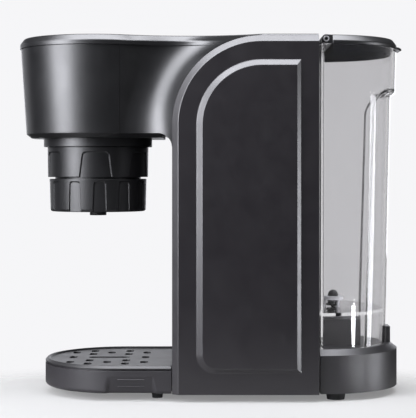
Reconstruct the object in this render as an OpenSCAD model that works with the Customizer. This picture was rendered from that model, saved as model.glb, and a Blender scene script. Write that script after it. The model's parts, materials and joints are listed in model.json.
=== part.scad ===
// Capsule coffee machine. Front faces -Y, Z is up, the floor is Z = 0.
// All sizes are in millimetres.

/* [Column] */
// height of the feet, which is the gap under the housing
ground_gap = 6; // [5:0.5:9]
// height of the column from its underside to the top of the side panels
column_h = 286.7; // [276:0.1:300]
// depth of the column from front wall to back wall
column_d = 117.3; // [110:0.1:126]
// width between the two side panels
core_w = 132; // [128:0.5:136]
// thickness of the column's front and back walls
wall_t = 3; // [2:0.1:4]
// thickness of the floor plate
plate_t = 3; // [2:0.1:3.5]
// how far the floor plate's tongue reaches in front of the column
tongue_reach = 26; // [20:0.5:34]
// width of the tongue
tongue_w = 104; // [100:1:108]

/* [Side panels] */
// thickness of a side panel, also the width of its chamfer
panel_t = 5; // [4:0.1:6]
// wall left behind the panel's inner pocket
panel_skin = 2.4; // [1.6:0.1:3]
// radius of the large front corner of the panel
arc_r = 72; // [66:0.5:76]
// height of the raised field above the panel
field_h = 3.2; // [2:0.1:4.5]
// distance of the raised field from the panel's front and top edge
field_front = 19.6; // [16:0.1:24]
// distance of the raised field from the panel's rear edge
field_rear = 14.3; // [10:0.1:20]
// distance of the raised field from the panel's bottom edge
field_low = 17.5; // [12:0.1:24]
// width of the field's bevel at the front and top
field_bevel = 4.7; // [3:0.1:6]
// width of the field's bevel at the rear and bottom
field_bevel_rear = 3.6; // [2:0.1:5]
// radius of the field's lower front corner
field_corner = 15; // [10:0.5:20]
// radius of the pegs that hold a panel on the walls
peg_r = 3; // [2.5:0.1:3.5]
// length of these pegs
peg_len = 8; // [6:0.5:9]

/* [Brew head] */
// distance of the brew axis from the column's front wall
brew_reach = 64.1; // [62:0.1:70]
// radius of the head drum at its top
drum_top_r = 64.6; // [63:0.1:66]
// radius of the head drum at its bottom
drum_bottom_r = 60; // [58:0.1:62]
// height of the head drum
drum_h = 71.2; // [66:0.1:76]
// half width of the neck at its waist
waist = 47; // [45:0.1:49]
// distance of the vertical seam behind the brew axis
seam_back = 21.6; // [16:0.1:26]
// width of the seams between the shells
seam_gap = 0.4; // [0.2:0.05:0.6]
// wall of the head shells
shell_t = 2.6; // [2:0.1:3.2]
// radius of the fillet between neck and column
neck_fillet = 12; // [8:0.1:13]
// how far the top cover stands out over the drum
cover_lip = 0.9; // [0.4:0.1:1.4]
// height of the top cover
cover_h = 8.3; // [7.5:0.1:9]
// height of the top cover's upright band
cover_band = 3.5; // [2:0.1:4.5]
// width of the top cover's chamfer
cover_bevel = 4.3; // [3:0.1:5]
// how far the top cover stands above the side panels
cover_stand = 1.6; // [0.8:0.1:2.4]
// thickness of the top cover's roof
cover_t = 2.8; // [2.4:0.1:3.2]
// height of the plate under the head, also the height of its chamfer
head_plate_h = 3.4; // [3:0.1:6]
// width of that chamfer
head_plate_bevel = 4.5; // [3:0.1:6]
// how far the plate reaches behind the brew axis
head_plate_back = 55.6; // [50:0.1:57]

/* [Controls] */
// radius of the round control panel
control_r = 44; // [40:0.5:48]
// depth of the recess that it lies in
control_t = 1.4; // [1:0.1:1.8]
// radius of the power button
power_r = 7; // [6:0.1:8]
// radius of the two cup buttons
cup_button_r = 10; // [8:0.1:11]
// half the spacing of the two cup buttons
button_spread = 17; // [15:0.5:20]
// distance of the cup buttons behind the brew axis
button_back = 9; // [6:0.5:12]
// distance of the power button in front of the brew axis
power_front = 19; // [16:0.5:22]
// how far a button stands out
button_out = 1.8; // [1.6:0.1:2.4]
// travel of a button
button_travel = 1.2; // [0.8:0.1:1.5]
// radius of the status light
light_r = 2; // [1.5:0.1:2.5]

/* [Capsule holder] */
// radius of the collar's flange
collar_r = 45.6; // [45:0.1:48]
// height of the collar's flange
collar_h = 6.9; // [5:0.1:8]
// outer radius of the adapter ring at its top
adapter_top_r = 42.5; // [42:0.1:44]
// outer radius of the adapter ring at its bottom
adapter_bottom_r = 42.1; // [41:0.1:43]
// height of the adapter ring
adapter_h = 25; // [23:0.1:28]
// visible gap between the two fluted rings
ring_gap = 1.5; // [1:0.1:2.5]
// height of the union ring
ring_h = 27.2; // [26:0.1:30]
// outer radius of the union ring at its top
ring_top_r = 40.9; // [40:0.1:42]
// outer radius of the union ring at its bottom
ring_bottom_r = 40.4; // [39.6:0.1:41.5]
// rounding of the union ring's lower edge
ring_round = 2.4; // [1.5:0.1:3]
// depth of the finger flutes
flute_d = 1; // [0.6:0.1:1.3]
// number of flutes on the adapter ring
adapter_flutes = 6; // [4:1:7]
// half angle of an adapter flute at its foot
adapter_flute_foot = 18.8; // [14:0.1:20]
// half angle of an adapter flute at its top
adapter_flute_top = 14.5; // [10:0.5:16]
// height of an adapter flute
adapter_flute_h = 20.7; // [16:0.1:22]
// turn of the adapter's flutes round the ring
adapter_flute_turn = 1.5; // [-30:0.1:30]
// number of flutes on the union ring
ring_flutes = 12; // [8:1:14]
// half angle of a union flute at its foot
ring_flute_foot = 8; // [6:0.5:9]
// half angle of a union flute at its top
ring_flute_top = 6.5; // [4:0.5:7]
// height of a union flute
ring_flute_h = 24.9; // [20:0.1:25]
// turn of the union ring's flutes round the ring
ring_flute_turn = 6.2; // [-15:0.1:15]
// outer radius of the adapter's neck
neck_r = 36.2; // [35.8:0.1:36.6]
// wall of the adapter's neck
neck_t = 3; // [2.4:0.1:3.2]
// height of the neck below the adapter ring
neck_h = 21.3; // [20:0.1:22]
// way that the cup sinks when the union ring is undone
holder_drop = 20; // [18:0.5:21]
// turn of the union ring over that way
holder_turn = 90; // [70:1:100]
// number of pegs in the union ring
holder_pegs = 3; // [2:1:3]
// radius of a peg
holder_peg_r = 2.2; // [1.8:0.1:2.4]
// play between pieces that turn or slide on each other
play = 0.3; // [0.2:0.05:0.4]
// turn of the adapter ring in its bayonet
bayonet_turn = 35; // [30:1:38]
// angle of a bayonet lug
lug_angle = 30; // [24:1:34]
// inner radius of the capsule cup
cup_r = 26.5; // [24:0.1:28]
// radius of the spout
spout_r = 7; // [5:0.1:9]
// how far the spout stands out below the union ring
spout_out = 3.5; // [2:0.1:6]
// radius of the coffee's bore in the spout
spout_bore = 2.2; // [1.5:0.1:3]

/* [Drip tray] */
// radius of the tray's round front, also half its width
tray_r = 66; // [64:0.1:67]
// length of the tray
tray_len = 107.5; // [100:0.1:116]
// height of the tray
tray_h = 19.8; // [18:0.1:24]
// gap between tray and column
tray_gap = 0.6; // [0.4:0.1:1.5]
// wall of the tray
tray_t = 3; // [2.4:0.1:3.4]
// thickness of the tray's floor
tray_floor_t = 2.4; // [2:0.1:3]
// rounding of the tray's lower edge
tray_round = 3; // [2:0.1:3]
// height of the grid's rim above the tray
grid_h = 2.5; // [2:0.1:3.2]
// thickness of the grid plate
grid_t = 2.2; // [1.8:0.1:2.6]
// height of the grid plate's face above the tray's rim
grid_face = 1.2; // [0.8:0.1:1.4]
// spacing of the rows of holes
hole_pitch = 15.2; // [14:0.1:16]
// length of a drain hole across the tray
hole_w = 12.4; // [8.4:0.1:13]
// length of a drain hole along the tray
hole_l = 6.4; // [5:0.1:8]
// length of the middle slot
slot_l = 34.6; // [28:0.1:36]
// width of the middle slot
slot_w = 9; // [5:0.1:10]
// distance of the middle slot behind the tray's front
slot_front = 53.7; // [50:0.1:58]
// width of a side grip at its foot
grip_foot = 43; // [38:0.5:46]
// width of a side grip at its top
grip_top = 36; // [30:0.5:37]
// depth of a side grip
grip_d = 4; // [3:0.1:5]
// distance of a side grip in front of the column
grip_front = 33; // [30:0.5:36]
// length of a grip rib
rib_l = 22; // [16:0.5:26]
// radius of a grip rib
rib_r = 0.8; // [0.6:0.1:1]

/* [Rear base] */
// radius of the rear base
base_r = 66; // [65:0.1:67]
// distance of the base's round centre behind the column
rear_offset = 4.2; // [3:0.1:6]
// height of the base
base_h = 35; // [33:0.1:38]
// height of the base's bevel
base_bevel_h = 4.5; // [3:0.1:5]
// width of the base's bevel
base_bevel = 6; // [5:0.1:6.5]
// gap between base and column
base_gap = 1.2; // [0.8:0.1:1.6]
// wall of the base
base_t = 2.8; // [2.4:0.1:3.2]
// height of the pedestal that carries the valve socket
pedestal_h = 21.5; // [20:0.1:23]
// width of the pedestal
pedestal_w = 64; // [50:1:70]
// length of the pedestal
pedestal_l = 32; // [28:0.5:36]
// height of the locating tab
tab_h = 13; // [8:0.1:16]
// width of the locating tab
tab_w = 18; // [14:1:34]
// thickness of the locating tab
tab_t = 3.2; // [2.6:0.1:5]

/* [Water tank] */
// radius of the tank at its rim
tank_top_r = 65.5; // [64.5:0.1:65.6]
// radius of the tank at its foot
tank_foot_r = 60; // [58.5:0.1:60]
// height of the tank
tank_h = 245; // [236:0.1:250]
// wall of the tank
tank_t = 2.5; // [2:0.1:3]
// gap between tank and column
tank_gap = 1.4; // [1.2:0.1:2]
// height of the tank's floor above its foot
tank_floor = 25; // [24:0.1:28]
// thickness of the tank's floor
tank_floor_t = 4; // [3:0.1:5]
// width of the grip recess at the tank's back
recess_w = 84; // [76:1:104]
// depth of the grip recess
recess_d = 3.9; // [3.8:0.1:4.4]
// distance of the recess below the rim
recess_drop = 38; // [30:0.5:60]
// radius of the recess's upper corners
recess_corner = 16; // [8:0.5:24]
// distance of the valve behind the column
valve_back = 17; // [16:0.1:19]
// outer radius of the tank's outlet
outlet_r = 7.2; // [6.6:0.1:7.6]
// length of the tank's outlet
outlet_l = 13; // [12:0.1:14]
// radius of the valve plunger's head
plunger_r = 4.2; // [3.6:0.1:4.6]
// travel of the valve plunger
plunger_travel = 2; // [1:0.1:2.2]
// wire radius of the valve spring
wire_r = 0.3; // [0.25:0.01:0.35]
// turns of the valve spring
spring_turns = 2; // [1.5:0.25:2]

/* [Tank lid] */
// radius of the lid
lid_r = 66; // [65.9:0.1:66.4]
// thickness of the lid
lid_h = 7.4; // [7.2:0.1:8]
// height of the lid's upright edge
lid_band = 2.6; // [1.5:0.1:3.5]
// width of the lid's bevel
lid_bevel = 5; // [3:0.1:6]
// thickness of the lid's roof
lid_t = 3; // [2.4:0.1:3.4]
// play between the lid and the rim
lid_play = 0.3; // [0.2:0.05:0.5]
// radius of the hinge barrel
barrel_r = 3.6; // [3.3:0.1:3.7]
// radius of the hinge pin
pin_r = 1.5; // [1.2:0.1:1.7]
// radius of the pin's head
pin_head_r = 2.4; // [2:0.1:2.8]
// running clearance of the hinge pin
pin_play = 0.05; // [0.03:0.01:0.1]
// how far the finger tab stands out behind the lid
lid_tab_out = 3.4; // [2.6:0.1:5]
// width of the finger tab
lid_tab_w = 20; // [14:1:26]
// height of the finger tab below the lid
lid_tab_drop = 1.9; // [1.4:0.1:4]

/* [Feet] */
// radius of a rear foot at its top
rear_foot_r = 8; // [6:0.1:8.5]
// half the spacing of the rear feet
rear_foot_x = 51; // [44:0.5:52]
// distance of the rear feet behind the base's round centre
rear_foot_y = 10.5; // [8:0.5:16]
// radius of a front foot at its top
front_foot_r = 5; // [4:0.1:6]
// half the spacing of the front feet
front_foot_x = 44; // [40:0.5:44]
// distance of the front feet in front of the column
front_foot_y = 12.5; // [10:0.5:14]
// how much a foot narrows to the floor
foot_draft = 0.9; // [0.4:0.1:1.5]

/* [Water path] */
// outer radius of the hoses and fittings
hose_r = 4; // [3.5:0.1:4.2]
// bore of the hoses and fittings
hose_bore = 2; // [1.5:0.1:2.4]
// bend radius of the hoses
hose_bend = 9; // [8:0.5:10]
// height of the lower hoses above the floor
hose_z = 20; // [19:0.5:21]
// distance of pump and boiler behind the column's front
works_y = 40; // [37:0.5:44]
// radius of the pump
pump_r = 20; // [17:0.5:22]
// length of the pump
pump_h = 71; // [60:0.5:76]
// radius of the boiler
boiler_r = 29; // [25:0.5:31]
// height of the boiler
boiler_h = 72; // [60:0.5:74]
// height of the boiler's bracket
bracket_z = 150; // [146:0.5:154]
// radius of the flow meter
meter_r = 14; // [12:0.5:15]
// height of the flow meter
meter_h = 22; // [21:0.5:24]

/* [Hidden] */
$fn = 64;

// reference planes
far = 500;
cut = 1;
half = core_w / 2;
cover_r = drum_top_r + cover_lip;
front_reach = brew_reach + cover_r;
rear_reach = column_d + rear_offset + lid_r + lid_tab_out;
col_front = (front_reach - rear_reach) / 2;
col_back = col_front + column_d;
drum_y = col_front - brew_reach;
rear_y = col_back + rear_offset;
body_top = ground_gap + column_h;
cover_top = body_top + cover_stand;
seam_z = cover_top - cover_h;
head_z = seam_z - drum_h;
arc_y = col_front + arc_r;
arc_z = body_top - arc_r;
plate_top = ground_gap + plate_t;

// side panels
panel_edge = 0.8;
pocket_in = panel_t + 1;
peg_play = 0.15;
peg_in = 9;
peg_low = 40;
peg_drop = 18.8;
peg_high = head_z - peg_drop;
boss_x = 12;
boss_half = 7;
arc_steps = 28;
corner_steps = 10;

// neck loft
neck_levels = 14;
drum_steps = 12;
cove_steps = 14;
cover_steps = 40;

// capsule holder stack
plate_z = head_z - head_plate_h;
collar_z = plate_z - collar_h;
collar_t = 5.5;
collar_tube_r = 43.3;
collar_top = head_z + 6.2;
spigot_r = 37.5;
lug_r = 40.8;
lug_z = head_z - 2.2;
lug_h = 4.4;
lug_play = 0.4;
lug_root = 2;
entry_play = 2;
spigot_top = lug_z + lug_h + 1;
bayonets = 3;
adapter_top = collar_z - play;
adapter_z = adapter_top - adapter_h;
ring_top = adapter_z - ring_gap;
ring_z = ring_top - ring_h;
neck_z = adapter_z - neck_h;
neck_bore = neck_r - neck_t;
cup_out_r = neck_bore - play - 0.2;
ring_bore = neck_r + play;
ring_lip_t = 2.4;
ring_lip_r = 29;
cup_flange_t = 2.7;
cup_flange_z = ring_z + ring_lip_t + play;
cup_rim = ring_top - 0.6;
cup_floor = cup_flange_z + cup_flange_t + 1;
cup_base_r = ring_lip_r - play;
cup_base_z = ring_z + play;
cup_draft = 1.2;
spout_z = ring_z - spout_out;
gasket_z = cup_rim + play;
gasket_t = 3.2;
gasket_top = gasket_z + gasket_t;
gasket_r = 22;
adapter_bore = neck_bore - 1.7;
needle_plate_t = 4;
needle_r = 1.6;
needle_l = 6;
needle_tip = 3;
seal_t = 2.6;
seal_r = 7;
block_z = collar_top;
block_h = 17;
block_r = 40;
head_hole_r = block_r + 6;
nipple_r = 8;
nipple_z = gasket_top + needle_plate_t + seal_t + play;
fitting_h = 8;
peg_z = ring_top - 7;
peg_tip = cup_out_r + 0.8;
helix_half = 13.5;
helix_top = peg_z + holder_peg_r + play + 0.2;
helix_slices = 16;
helix_sides = 4;
helix_over = 3;
flute_corner = 3;
ring_flute_corner = 1.8;

// controls
stem_r = 3;
board_drop = 23;
board_t = 1.6;
board_top = cover_top - board_drop;
switch_r = 4;
switch_h = 4.4;
stem_z = board_top + switch_h + button_travel + 0.3;
button_play = 0.3;
cap_depth = 4.6;
board_half_x = 40;
board_front = 34;
board_back = 26;
board_post_x = 36;
board_post_front = 30;
board_post_back = 22;
board_post_r = 3;
light_y = drum_y - power_front + 14;
light_depth = 5;

// drip tray
tray_z = ground_gap;
tray_top = tray_z + tray_h;
tray_back = col_front - tray_gap;
tray_front = tray_back - tray_len;
tray_cy = tray_front + tray_r;
tray_floor_z = plate_top + 1.2;
tray_floor_top = tray_floor_z + tray_floor_t;
tray_groove_h = 0.7;
tray_groove_d = 0.9;
grip_y = col_front - grip_front;
grip_foot_z = tray_z - cut;
grip_top_z = tray_z + 14;
grip_slope = 3.6;
grip_boss = 3;
grip_wall = 2.4;
rib_zs = [tray_z + 5.7, tray_z + 11.3];
grid_play = 0.4;
grid_rim = 3.4;
grid_step = 0.6;
slot_y = tray_front + slot_front;

// rear base and tank
base_z = ground_gap;
base_top = base_z + base_h;
base_wall_top = base_top - base_bevel_h;
base_front = col_back + base_gap;
deck_t = 3;
flange_half = 58;
cover_plate_t = 2.5;
cover_play = 0.3;
boss_r = 4.5;
screw_r = 1.45;
screw_head_r = 3;
screw_head_h = 1.8;
screw_l = 11;
screw_play = 0.05;
screw_x = 36;
screw_y = 24;
screw_far_y = 47;
tank_z = base_top;
tank_top = tank_z + tank_h;
tank_flat = col_back + tank_gap;
tank_draft = (tank_top_r - tank_foot_r) / tank_h;
tank_floor_z = tank_z + tank_floor;
tank_floor_top = tank_floor_z + tank_floor_t;
pedestal_front = tank_flat + tank_t + 0.6;
pedestal_top = base_top + pedestal_h;
pedestal_t = 2.4;
valve_y = col_back + valve_back;
outlet_bore = 4.6;
outlet_z = tank_floor_z - outlet_l;
socket_r = outlet_r + 0.5;
socket_wall = 2.6;
socket_floor = outlet_z - 2.5;
socket_floor_t = 3;
seal_ring_r = outlet_r + 2.4;
seal_ring_h = 2.6;
seal_ring_play = 0.1;
seat_fitting_z = hose_z + hose_bend + 4;
probe_r = 1.5;
stem_valve_r = 1.8;
valve_stem_z = outlet_z + 3;
probe_top = valve_stem_z - play;
flange_valve_t = 1.5;
flange_valve_z = tank_floor_top + 1.2;
cage_z = flange_valve_z + flange_valve_t + plunger_travel + 1.2;
cage_t = 3;
cage_r = 8.6;
cage_post_r = 1.2;
cage_post_at = 7.3;
flange_valve_r = cage_post_at - cage_post_r - play;
cage_posts = 3;
cage_turn = 30;
plunger_dome_z = cage_z + cage_t + 1;
spring_r = 5.3;
spring_steps = 20;
spring_sides = 8;
tab_y = rear_y + tank_foot_r - recess_d + 0.6;

// lid hinge
lid_z = tank_top + lid_play;
lid_top = lid_z + lid_h;
hinge_y = tank_flat + 4.8;
hinge_z = tank_top + 4.4;
ear_x = 50;
ear_w = 5.5;
ear_r = 3.3;
ear_foot = 4;
ear_play = 0.3;
knuckle_end = 61.4;
pin_head_t = 1.1;
socket_pin_r = 1.1;
socket_pin_d = 0.8;
notch_back = hinge_y + barrel_r + 1.2;
lid_rim_w = 4;
lid_tab_t = 1.7;

// works
pump_y = col_front + works_y;
meter_y = col_back - wall_t - meter_r - 9;
shelf_z = hose_z + hose_bend + 5;
shelf_t = 3;
shelf_half_x = 30;
shelf_half_y = 24;
leg_t = 3;
mount_t = 4;
mount_r = 15;
pump_z = shelf_z + shelf_t + mount_t;
pump_top = pump_z + pump_h;
core_half = 23;
core_lift = 16;
core_h = 36;
pump_inlet_z = hose_z + hose_bend;
fit = 0.4;
bracket_half = 44;
bracket_t = 3;
boiler_z = bracket_z + bracket_t;
boiler_top = boiler_z + boiler_h;
boiler_cap = 4;
boiler_cap_over = 3;
boiler_inlet = 10;
hose_rise = 2;
brew_hose_z = max(block_z + block_h, boiler_top + boiler_cap) + fitting_h + hose_bend + hose_rise;
thermo_r = 8;
thermo_h = 6;
thermo_off = 17;
stand_r = 3;
stand_l = 6;
pcb_half = 46;
pcb_z = 54;
pcb_h = 86;
pcb_t = 1.6;
stand_in = 6;
coil_w = 34;
coil_h = 30;
coil_d = 22;
cap_r = 7;
cap_l = 20;
relay_w = 16;
relay_h = 22;
relay_d = 15;
wall_hole_r = hose_r + 1.5;

// cord gland in the rear base
gland_a = 135;
gland_z = base_z + 13;
gland_r = 6.5;
gland_flange_r = 9;
gland_out = 2;
gland_bore = 3.6;
gland_in = 6;

// colours
c_panel = [0.19, 0.18, 0.20];
c_black = [0.08, 0.08, 0.09];
c_tray = [0.30, 0.30, 0.31];
c_clear = [0.78, 0.80, 0.82, 0.45];
c_lid = [0.24, 0.25, 0.27];
c_steel = [0.70, 0.71, 0.73];
c_white = [0.90, 0.90, 0.88];
c_rubber = [0.06, 0.06, 0.06];
c_green = [0.10, 0.35, 0.20];
c_hose = [0.85, 0.86, 0.84];

// plain solids placed by their limits
module box(x0, x1, y0, y1, z0, z1) {
    translate([x0, y0, z0]) cube([x1 - x0, y1 - y0, z1 - z0]);
}

module slab(w, y0, y1, z0, z1) {
    box(-w, w, y0, y1, z0, z1);
}

module cone(ra, rb, x, y, z0, z1) {
    translate([x, y, z0]) cylinder(r1 = ra, r2 = rb, h = z1 - z0);
}

module post(r, x, y, z0, z1) {
    cone(r, r, x, y, z0, z1);
}

module ring(r, bore, x, y, z0, z1) {
    difference() {
        post(r, x, y, z0, z1);
        post(bore, x, y, z0 - cut, z1 + cut);
    }
}

module rod_x(r, x0, x1, y, z) {
    translate([x0, y, z]) rotate([0, 90, 0]) cylinder(r = r, h = x1 - x0);
}

module rod_y(r, x, y0, y1, z) {
    translate([x, y0, z]) rotate([-90, 0, 0]) cylinder(r = r, h = y1 - y0);
}

module both_sides() {
    children();
    mirror([1, 0, 0]) children();
}

// outline drawn in Y and Z, given thickness along +X
module on_side(x, t) {
    translate([x, 0, 0]) rotate([90, 0, 90]) linear_extrude(t) children();
}

// cone cut flat at its front, for everything behind the column
module d_cone(ra, rb, z0, z1, flat) {
    intersection() {
        cone(ra, rb, 0, rear_y, z0, z1);
        slab(far, flat, far, z0, z1);
    }
}

// half profile swept round the tray's front and back along its sides
module u_sweep(back) {
    translate([0, tray_cy, 0]) rotate([0, 0, 180]) rotate_extrude(angle = 180) children();
    translate([0, back, 0]) rotate([90, 0, 0]) linear_extrude(back - tray_cy) {
        children();
        mirror([1, 0, 0]) children();
    }
}

module strip(r, z0, z1) {
    translate([0, z0]) square([r, z1 - z0]);
}

// stack of outlines with the same number of points, joined by triangles
module loft(rings) {
    n = len(rings[0]);
    m = len(rings);
    pts = [for (r = rings) each r];
    low = [for (i = [0:n - 1]) i];
    high = [for (i = [n - 1:-1:0]) (m - 1) * n + i];
    side = [for (k = [0:m - 2]) for (i = [0:n - 1])
        let (j = (i + 1) % n, a = k * n + i, b = k * n + j, c = a + n, d = b + n)
        each [[a, c, d], [a, d, b]]];
    polyhedron(points = pts, faces = concat([low], side, [high]), convexity = 6);
}

// hose through corner points in the plane X = x, each corner a bend
module hose(x, pts) {
    difference() {
        hose_core(x, pts, hose_r);
        hose_core(x, pts, hose_bore);
    }
}

module hose_core(x, pts, r) {
    n = len(pts);
    for (i = [0:n - 2]) {
        d = pts[i + 1] - pts[i];
        l = norm(d);
        s = i == 0 ? 0 : hose_bend;
        e = i == n - 2 ? 0 : hose_bend;
        translate([x, pts[i][0], pts[i][1]]) rotate([-atan2(d[0], d[1]), 0, 0])
            translate([0, 0, s]) cylinder(r = r, h = l - s - e);
    }
    if (n > 2)
        for (i = [1:n - 2]) {
            a = (pts[i - 1] - pts[i]) / norm(pts[i - 1] - pts[i]);
            b = (pts[i + 1] - pts[i]) / norm(pts[i + 1] - pts[i]);
            c = pts[i] + hose_bend * (a + b);
            start = min_turn(atan2(-a[1], -a[0]), atan2(-b[1], -b[0]));
            translate([x, c[0], c[1]]) rotate([90, 0, 90]) rotate([0, 0, start])
                rotate_extrude(angle = 90) translate([hose_bend, 0]) circle(r);
        }
}

// the earlier of two directions that lie a quarter turn apart
function min_turn(p, q) = ((q - p + 720) % 360) < 180 ? p : q;

// front edge of the side panel at height z
function panel_front(z) = z <= arc_z ? col_front
    : arc_y - sqrt(max(0, arc_r * arc_r - pow(min(z, body_top) - arc_z, 2)));

function drum_r(z) = drum_bottom_r + (drum_top_r - drum_bottom_r) * (z - head_z) / drum_h;

// distance along Y from the cove's centre to the panel edge
function cove_run(r, w, e, p) =
    let (a = r - w, c = e - w, k = (a - c) / c, m = a * (r + w) + a * c - p * p)
    abs(k) < 0.001 ? -m / (2 * p) : (-p + sqrt(p * p - k * m)) / k;

// line of the neck seen from above: drum of radius r, hollow cove with waist w, panel edge at
// half width e and distance p behind the axis; t moves the line inward for the inner wall
function neck_line(r, w, e, p, t, start, n) =
    let (run = cove_run(r, w, e, p), c = e - w, rc = (run * run / c + c) / 2,
        uc = sqrt((r - w) * (r + w + 2 * rc)), vc = w + rc, meet = atan2(vc, uc),
        end = 360 + atan2(e - vc, p - uc))
    concat(
        [for (i = [0:n]) let (g = start + (meet - start) * i / n)
            [(r - t) * sin(g), drum_y + (r - t) * cos(g)]],
        [for (i = [1:cove_steps]) let (g = 180 + meet + (end - 180 - meet) * i / cove_steps)
            [min(e, vc + (rc + t) * sin(g)), drum_y + uc + (rc + t) * cos(g)]]);

function neck_at(z, t) = let (r = drum_r(z))
    neck_line(r, waist, half, panel_front(z) - drum_y, t, acos(seam_back / (r - t)), drum_steps);

function flip(line) = [for (i = [len(line) - 1:-1:0]) line[i]];

function lift(line, z) = [for (p = line) [p[0], p[1], z]];

function neck_ring(z) = lift(concat(neck_at(z, 0), flip(neck_at(z, shell_t))), z);

function neck_plan(z) = let (h = neck_at(z, 0))
    concat(h, flip([for (p = h) [-p[0], p[1]]]));

// outline of the top cover at height z, drawn in by d
function cover_ring(z, d) =
    let (e = half - d, h = concat(neck_line(cover_r - d, waist + cover_lip - d, e,
            panel_front(z) - drum_y, 0, 180, cover_steps), [[e, col_back]]),
        l = [for (i = [len(h) - 1:-1:1]) [-h[i][0], h[i][1]]])
    lift(concat(h, l), z);

// side panel outline, its chamfered front and top drawn in by d
function panel_line(d) = concat([[col_back, ground_gap], [col_back, body_top - d]],
    [for (i = [0:arc_steps]) let (g = 90 + 90 * i / arc_steps)
        [arc_y + (arc_r - d) * cos(g), arc_z + (arc_r - d) * sin(g)]],
    [[col_front + d, ground_gap]]);

// raised field outline, its bevels drawn in by the share s
function field_line(s) =
    let (d = field_front + s * field_bevel, b = s * field_bevel_rear,
        rear = col_back - field_rear - b, low = ground_gap + field_low + b,
        q = max(1, field_corner - b), y = col_front + d + q)
    concat([[rear, low], [rear, body_top - d]],
        [for (i = [0:arc_steps]) let (g = 90 + 90 * i / arc_steps)
            [arc_y + (arc_r - d) * cos(g), arc_z + (arc_r - d) * sin(g)]],
        [for (i = [0:corner_steps]) let (g = 180 + 90 * i / corner_steps)
            [y + q * cos(g), low + q + q * sin(g)]]);

function tank_r(z) = tank_foot_r + tank_draft * (z - tank_z);

// places of the panel pegs as [y, z]
peg_spots = [[col_front + wall_t + peg_in, peg_low], [col_front + wall_t + peg_in, peg_high],
    [col_back - wall_t - peg_in, peg_low], [col_back - wall_t - peg_in, peg_high]];

module side_panel() {
    difference() {
        union() {
            hull() {
                on_side(half, panel_edge) polygon(panel_line(0));
                on_side(half + panel_t - panel_edge, panel_edge) polygon(panel_line(panel_t));
            }
            hull() {
                on_side(half + panel_t - panel_edge, panel_edge) polygon(field_line(0));
                on_side(half + panel_t, field_h) polygon(field_line(1));
            }
        }
        on_side(half - cut, panel_t - panel_skin + cut) polygon(pocket_line());
    }
    for (p = peg_spots)
        rod_x(peg_r, half - peg_len, half + panel_t - panel_skin, p[0], p[1]);
}

function pocket_line() = concat(
    [[col_back - pocket_in, ground_gap + pocket_in], [col_back - pocket_in, body_top - pocket_in]],
    [for (i = [0:arc_steps]) let (g = 90 + 90 * i / arc_steps)
        [arc_y + (arc_r - pocket_in) * cos(g), arc_z + (arc_r - pocket_in) * sin(g)]],
    [[col_front + pocket_in, ground_gap + pocket_in]]);

module left_side_panel() {
    color(c_panel) mirror([1, 0, 0]) side_panel();
}

module right_side_panel() {
    color(c_panel) side_panel();
}

// bosses on a wall that take the panel pegs
module peg_bosses(y0, y1, y) {
    both_sides() for (z = [peg_low, peg_high])
        difference() {
            box(half - boss_x, half, y0, y1, z - boss_half, z + boss_half);
            rod_x(peg_r + peg_play, half - peg_len - cut, half + cut, y, z);
        }
}

module chassis_plate() {
    color(c_black) {
        slab(half, col_front, col_back, ground_gap, plate_top);
        slab(tongue_w / 2, col_front - tongue_reach, col_front + cut, ground_gap, plate_top);
    }
}

module column_front() {
    inner = col_front + wall_t;
    color(c_panel) {
        slab(half, col_front, inner, plate_top, head_z);
        peg_bosses(inner - cut, inner + peg_in + boss_half, inner + peg_in);
    }
}

module rear_wall() {
    inner = col_back - wall_t;
    color(c_panel) {
        difference() {
            slab(half, inner, col_back, plate_top, seam_z);
            rod_y(wall_hole_r, 0, inner - cut, col_back + cut, hose_z);
        }
        peg_bosses(inner - peg_in - boss_half, inner + cut, inner - peg_in);
        both_sides() for (z = [pcb_z + stand_in, pcb_z + pcb_h - stand_in])
            rod_y(stand_r, pcb_half - stand_in, inner - stand_l, inner + cut, z);
    }
}

module neck_housing() {
    low = head_z - cut;
    rise = (seam_z - head_z + 2 * cut) / neck_levels;
    color(c_black) difference() {
        union() {
            intersection() {
                both_sides() loft([for (k = [0:neck_levels]) neck_ring(low + rise * k)]);
                slab(far, -far, far, head_z, seam_z);
            }
            translate([0, 0, head_z]) linear_extrude(shell_t) polygon(neck_plan(head_z));
            intersection() {
                translate([0, 0, head_z - neck_fillet]) linear_extrude(neck_fillet + cut)
                    polygon(neck_plan(head_z));
                difference() {
                    slab(far, col_front - neck_fillet, col_front, head_z - neck_fillet, head_z + cut);
                    rod_x(neck_fillet, -far, far, col_front - neck_fillet, head_z - neck_fillet);
                }
            }
        }
        post(head_hole_r, 0, drum_y, head_z - cut, head_z + shell_t + cut);
    }
}

module head_shell() {
    color(c_black) difference() {
        cone(drum_bottom_r, drum_top_r, 0, drum_y, head_z, seam_z);
        cone(drum_bottom_r - shell_t, drum_top_r - shell_t, 0, drum_y, head_z, seam_z);
        post(drum_bottom_r - shell_t, 0, drum_y, head_z - cut, head_z + cut);
        post(drum_top_r - shell_t, 0, drum_y, seam_z - cut / far, seam_z + cut);
        slab(far, drum_y + seam_back - seam_gap, far, head_z - cut, seam_z + cut);
    }
}

module button_holes(z0, z1) {
    post(power_r + button_play, 0, drum_y - power_front, z0, z1);
    both_sides() post(cup_button_r + button_play, button_spread, drum_y + button_back, z0, z1);
    post(light_r + peg_play, 0, light_y, z0, z1);
}

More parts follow.
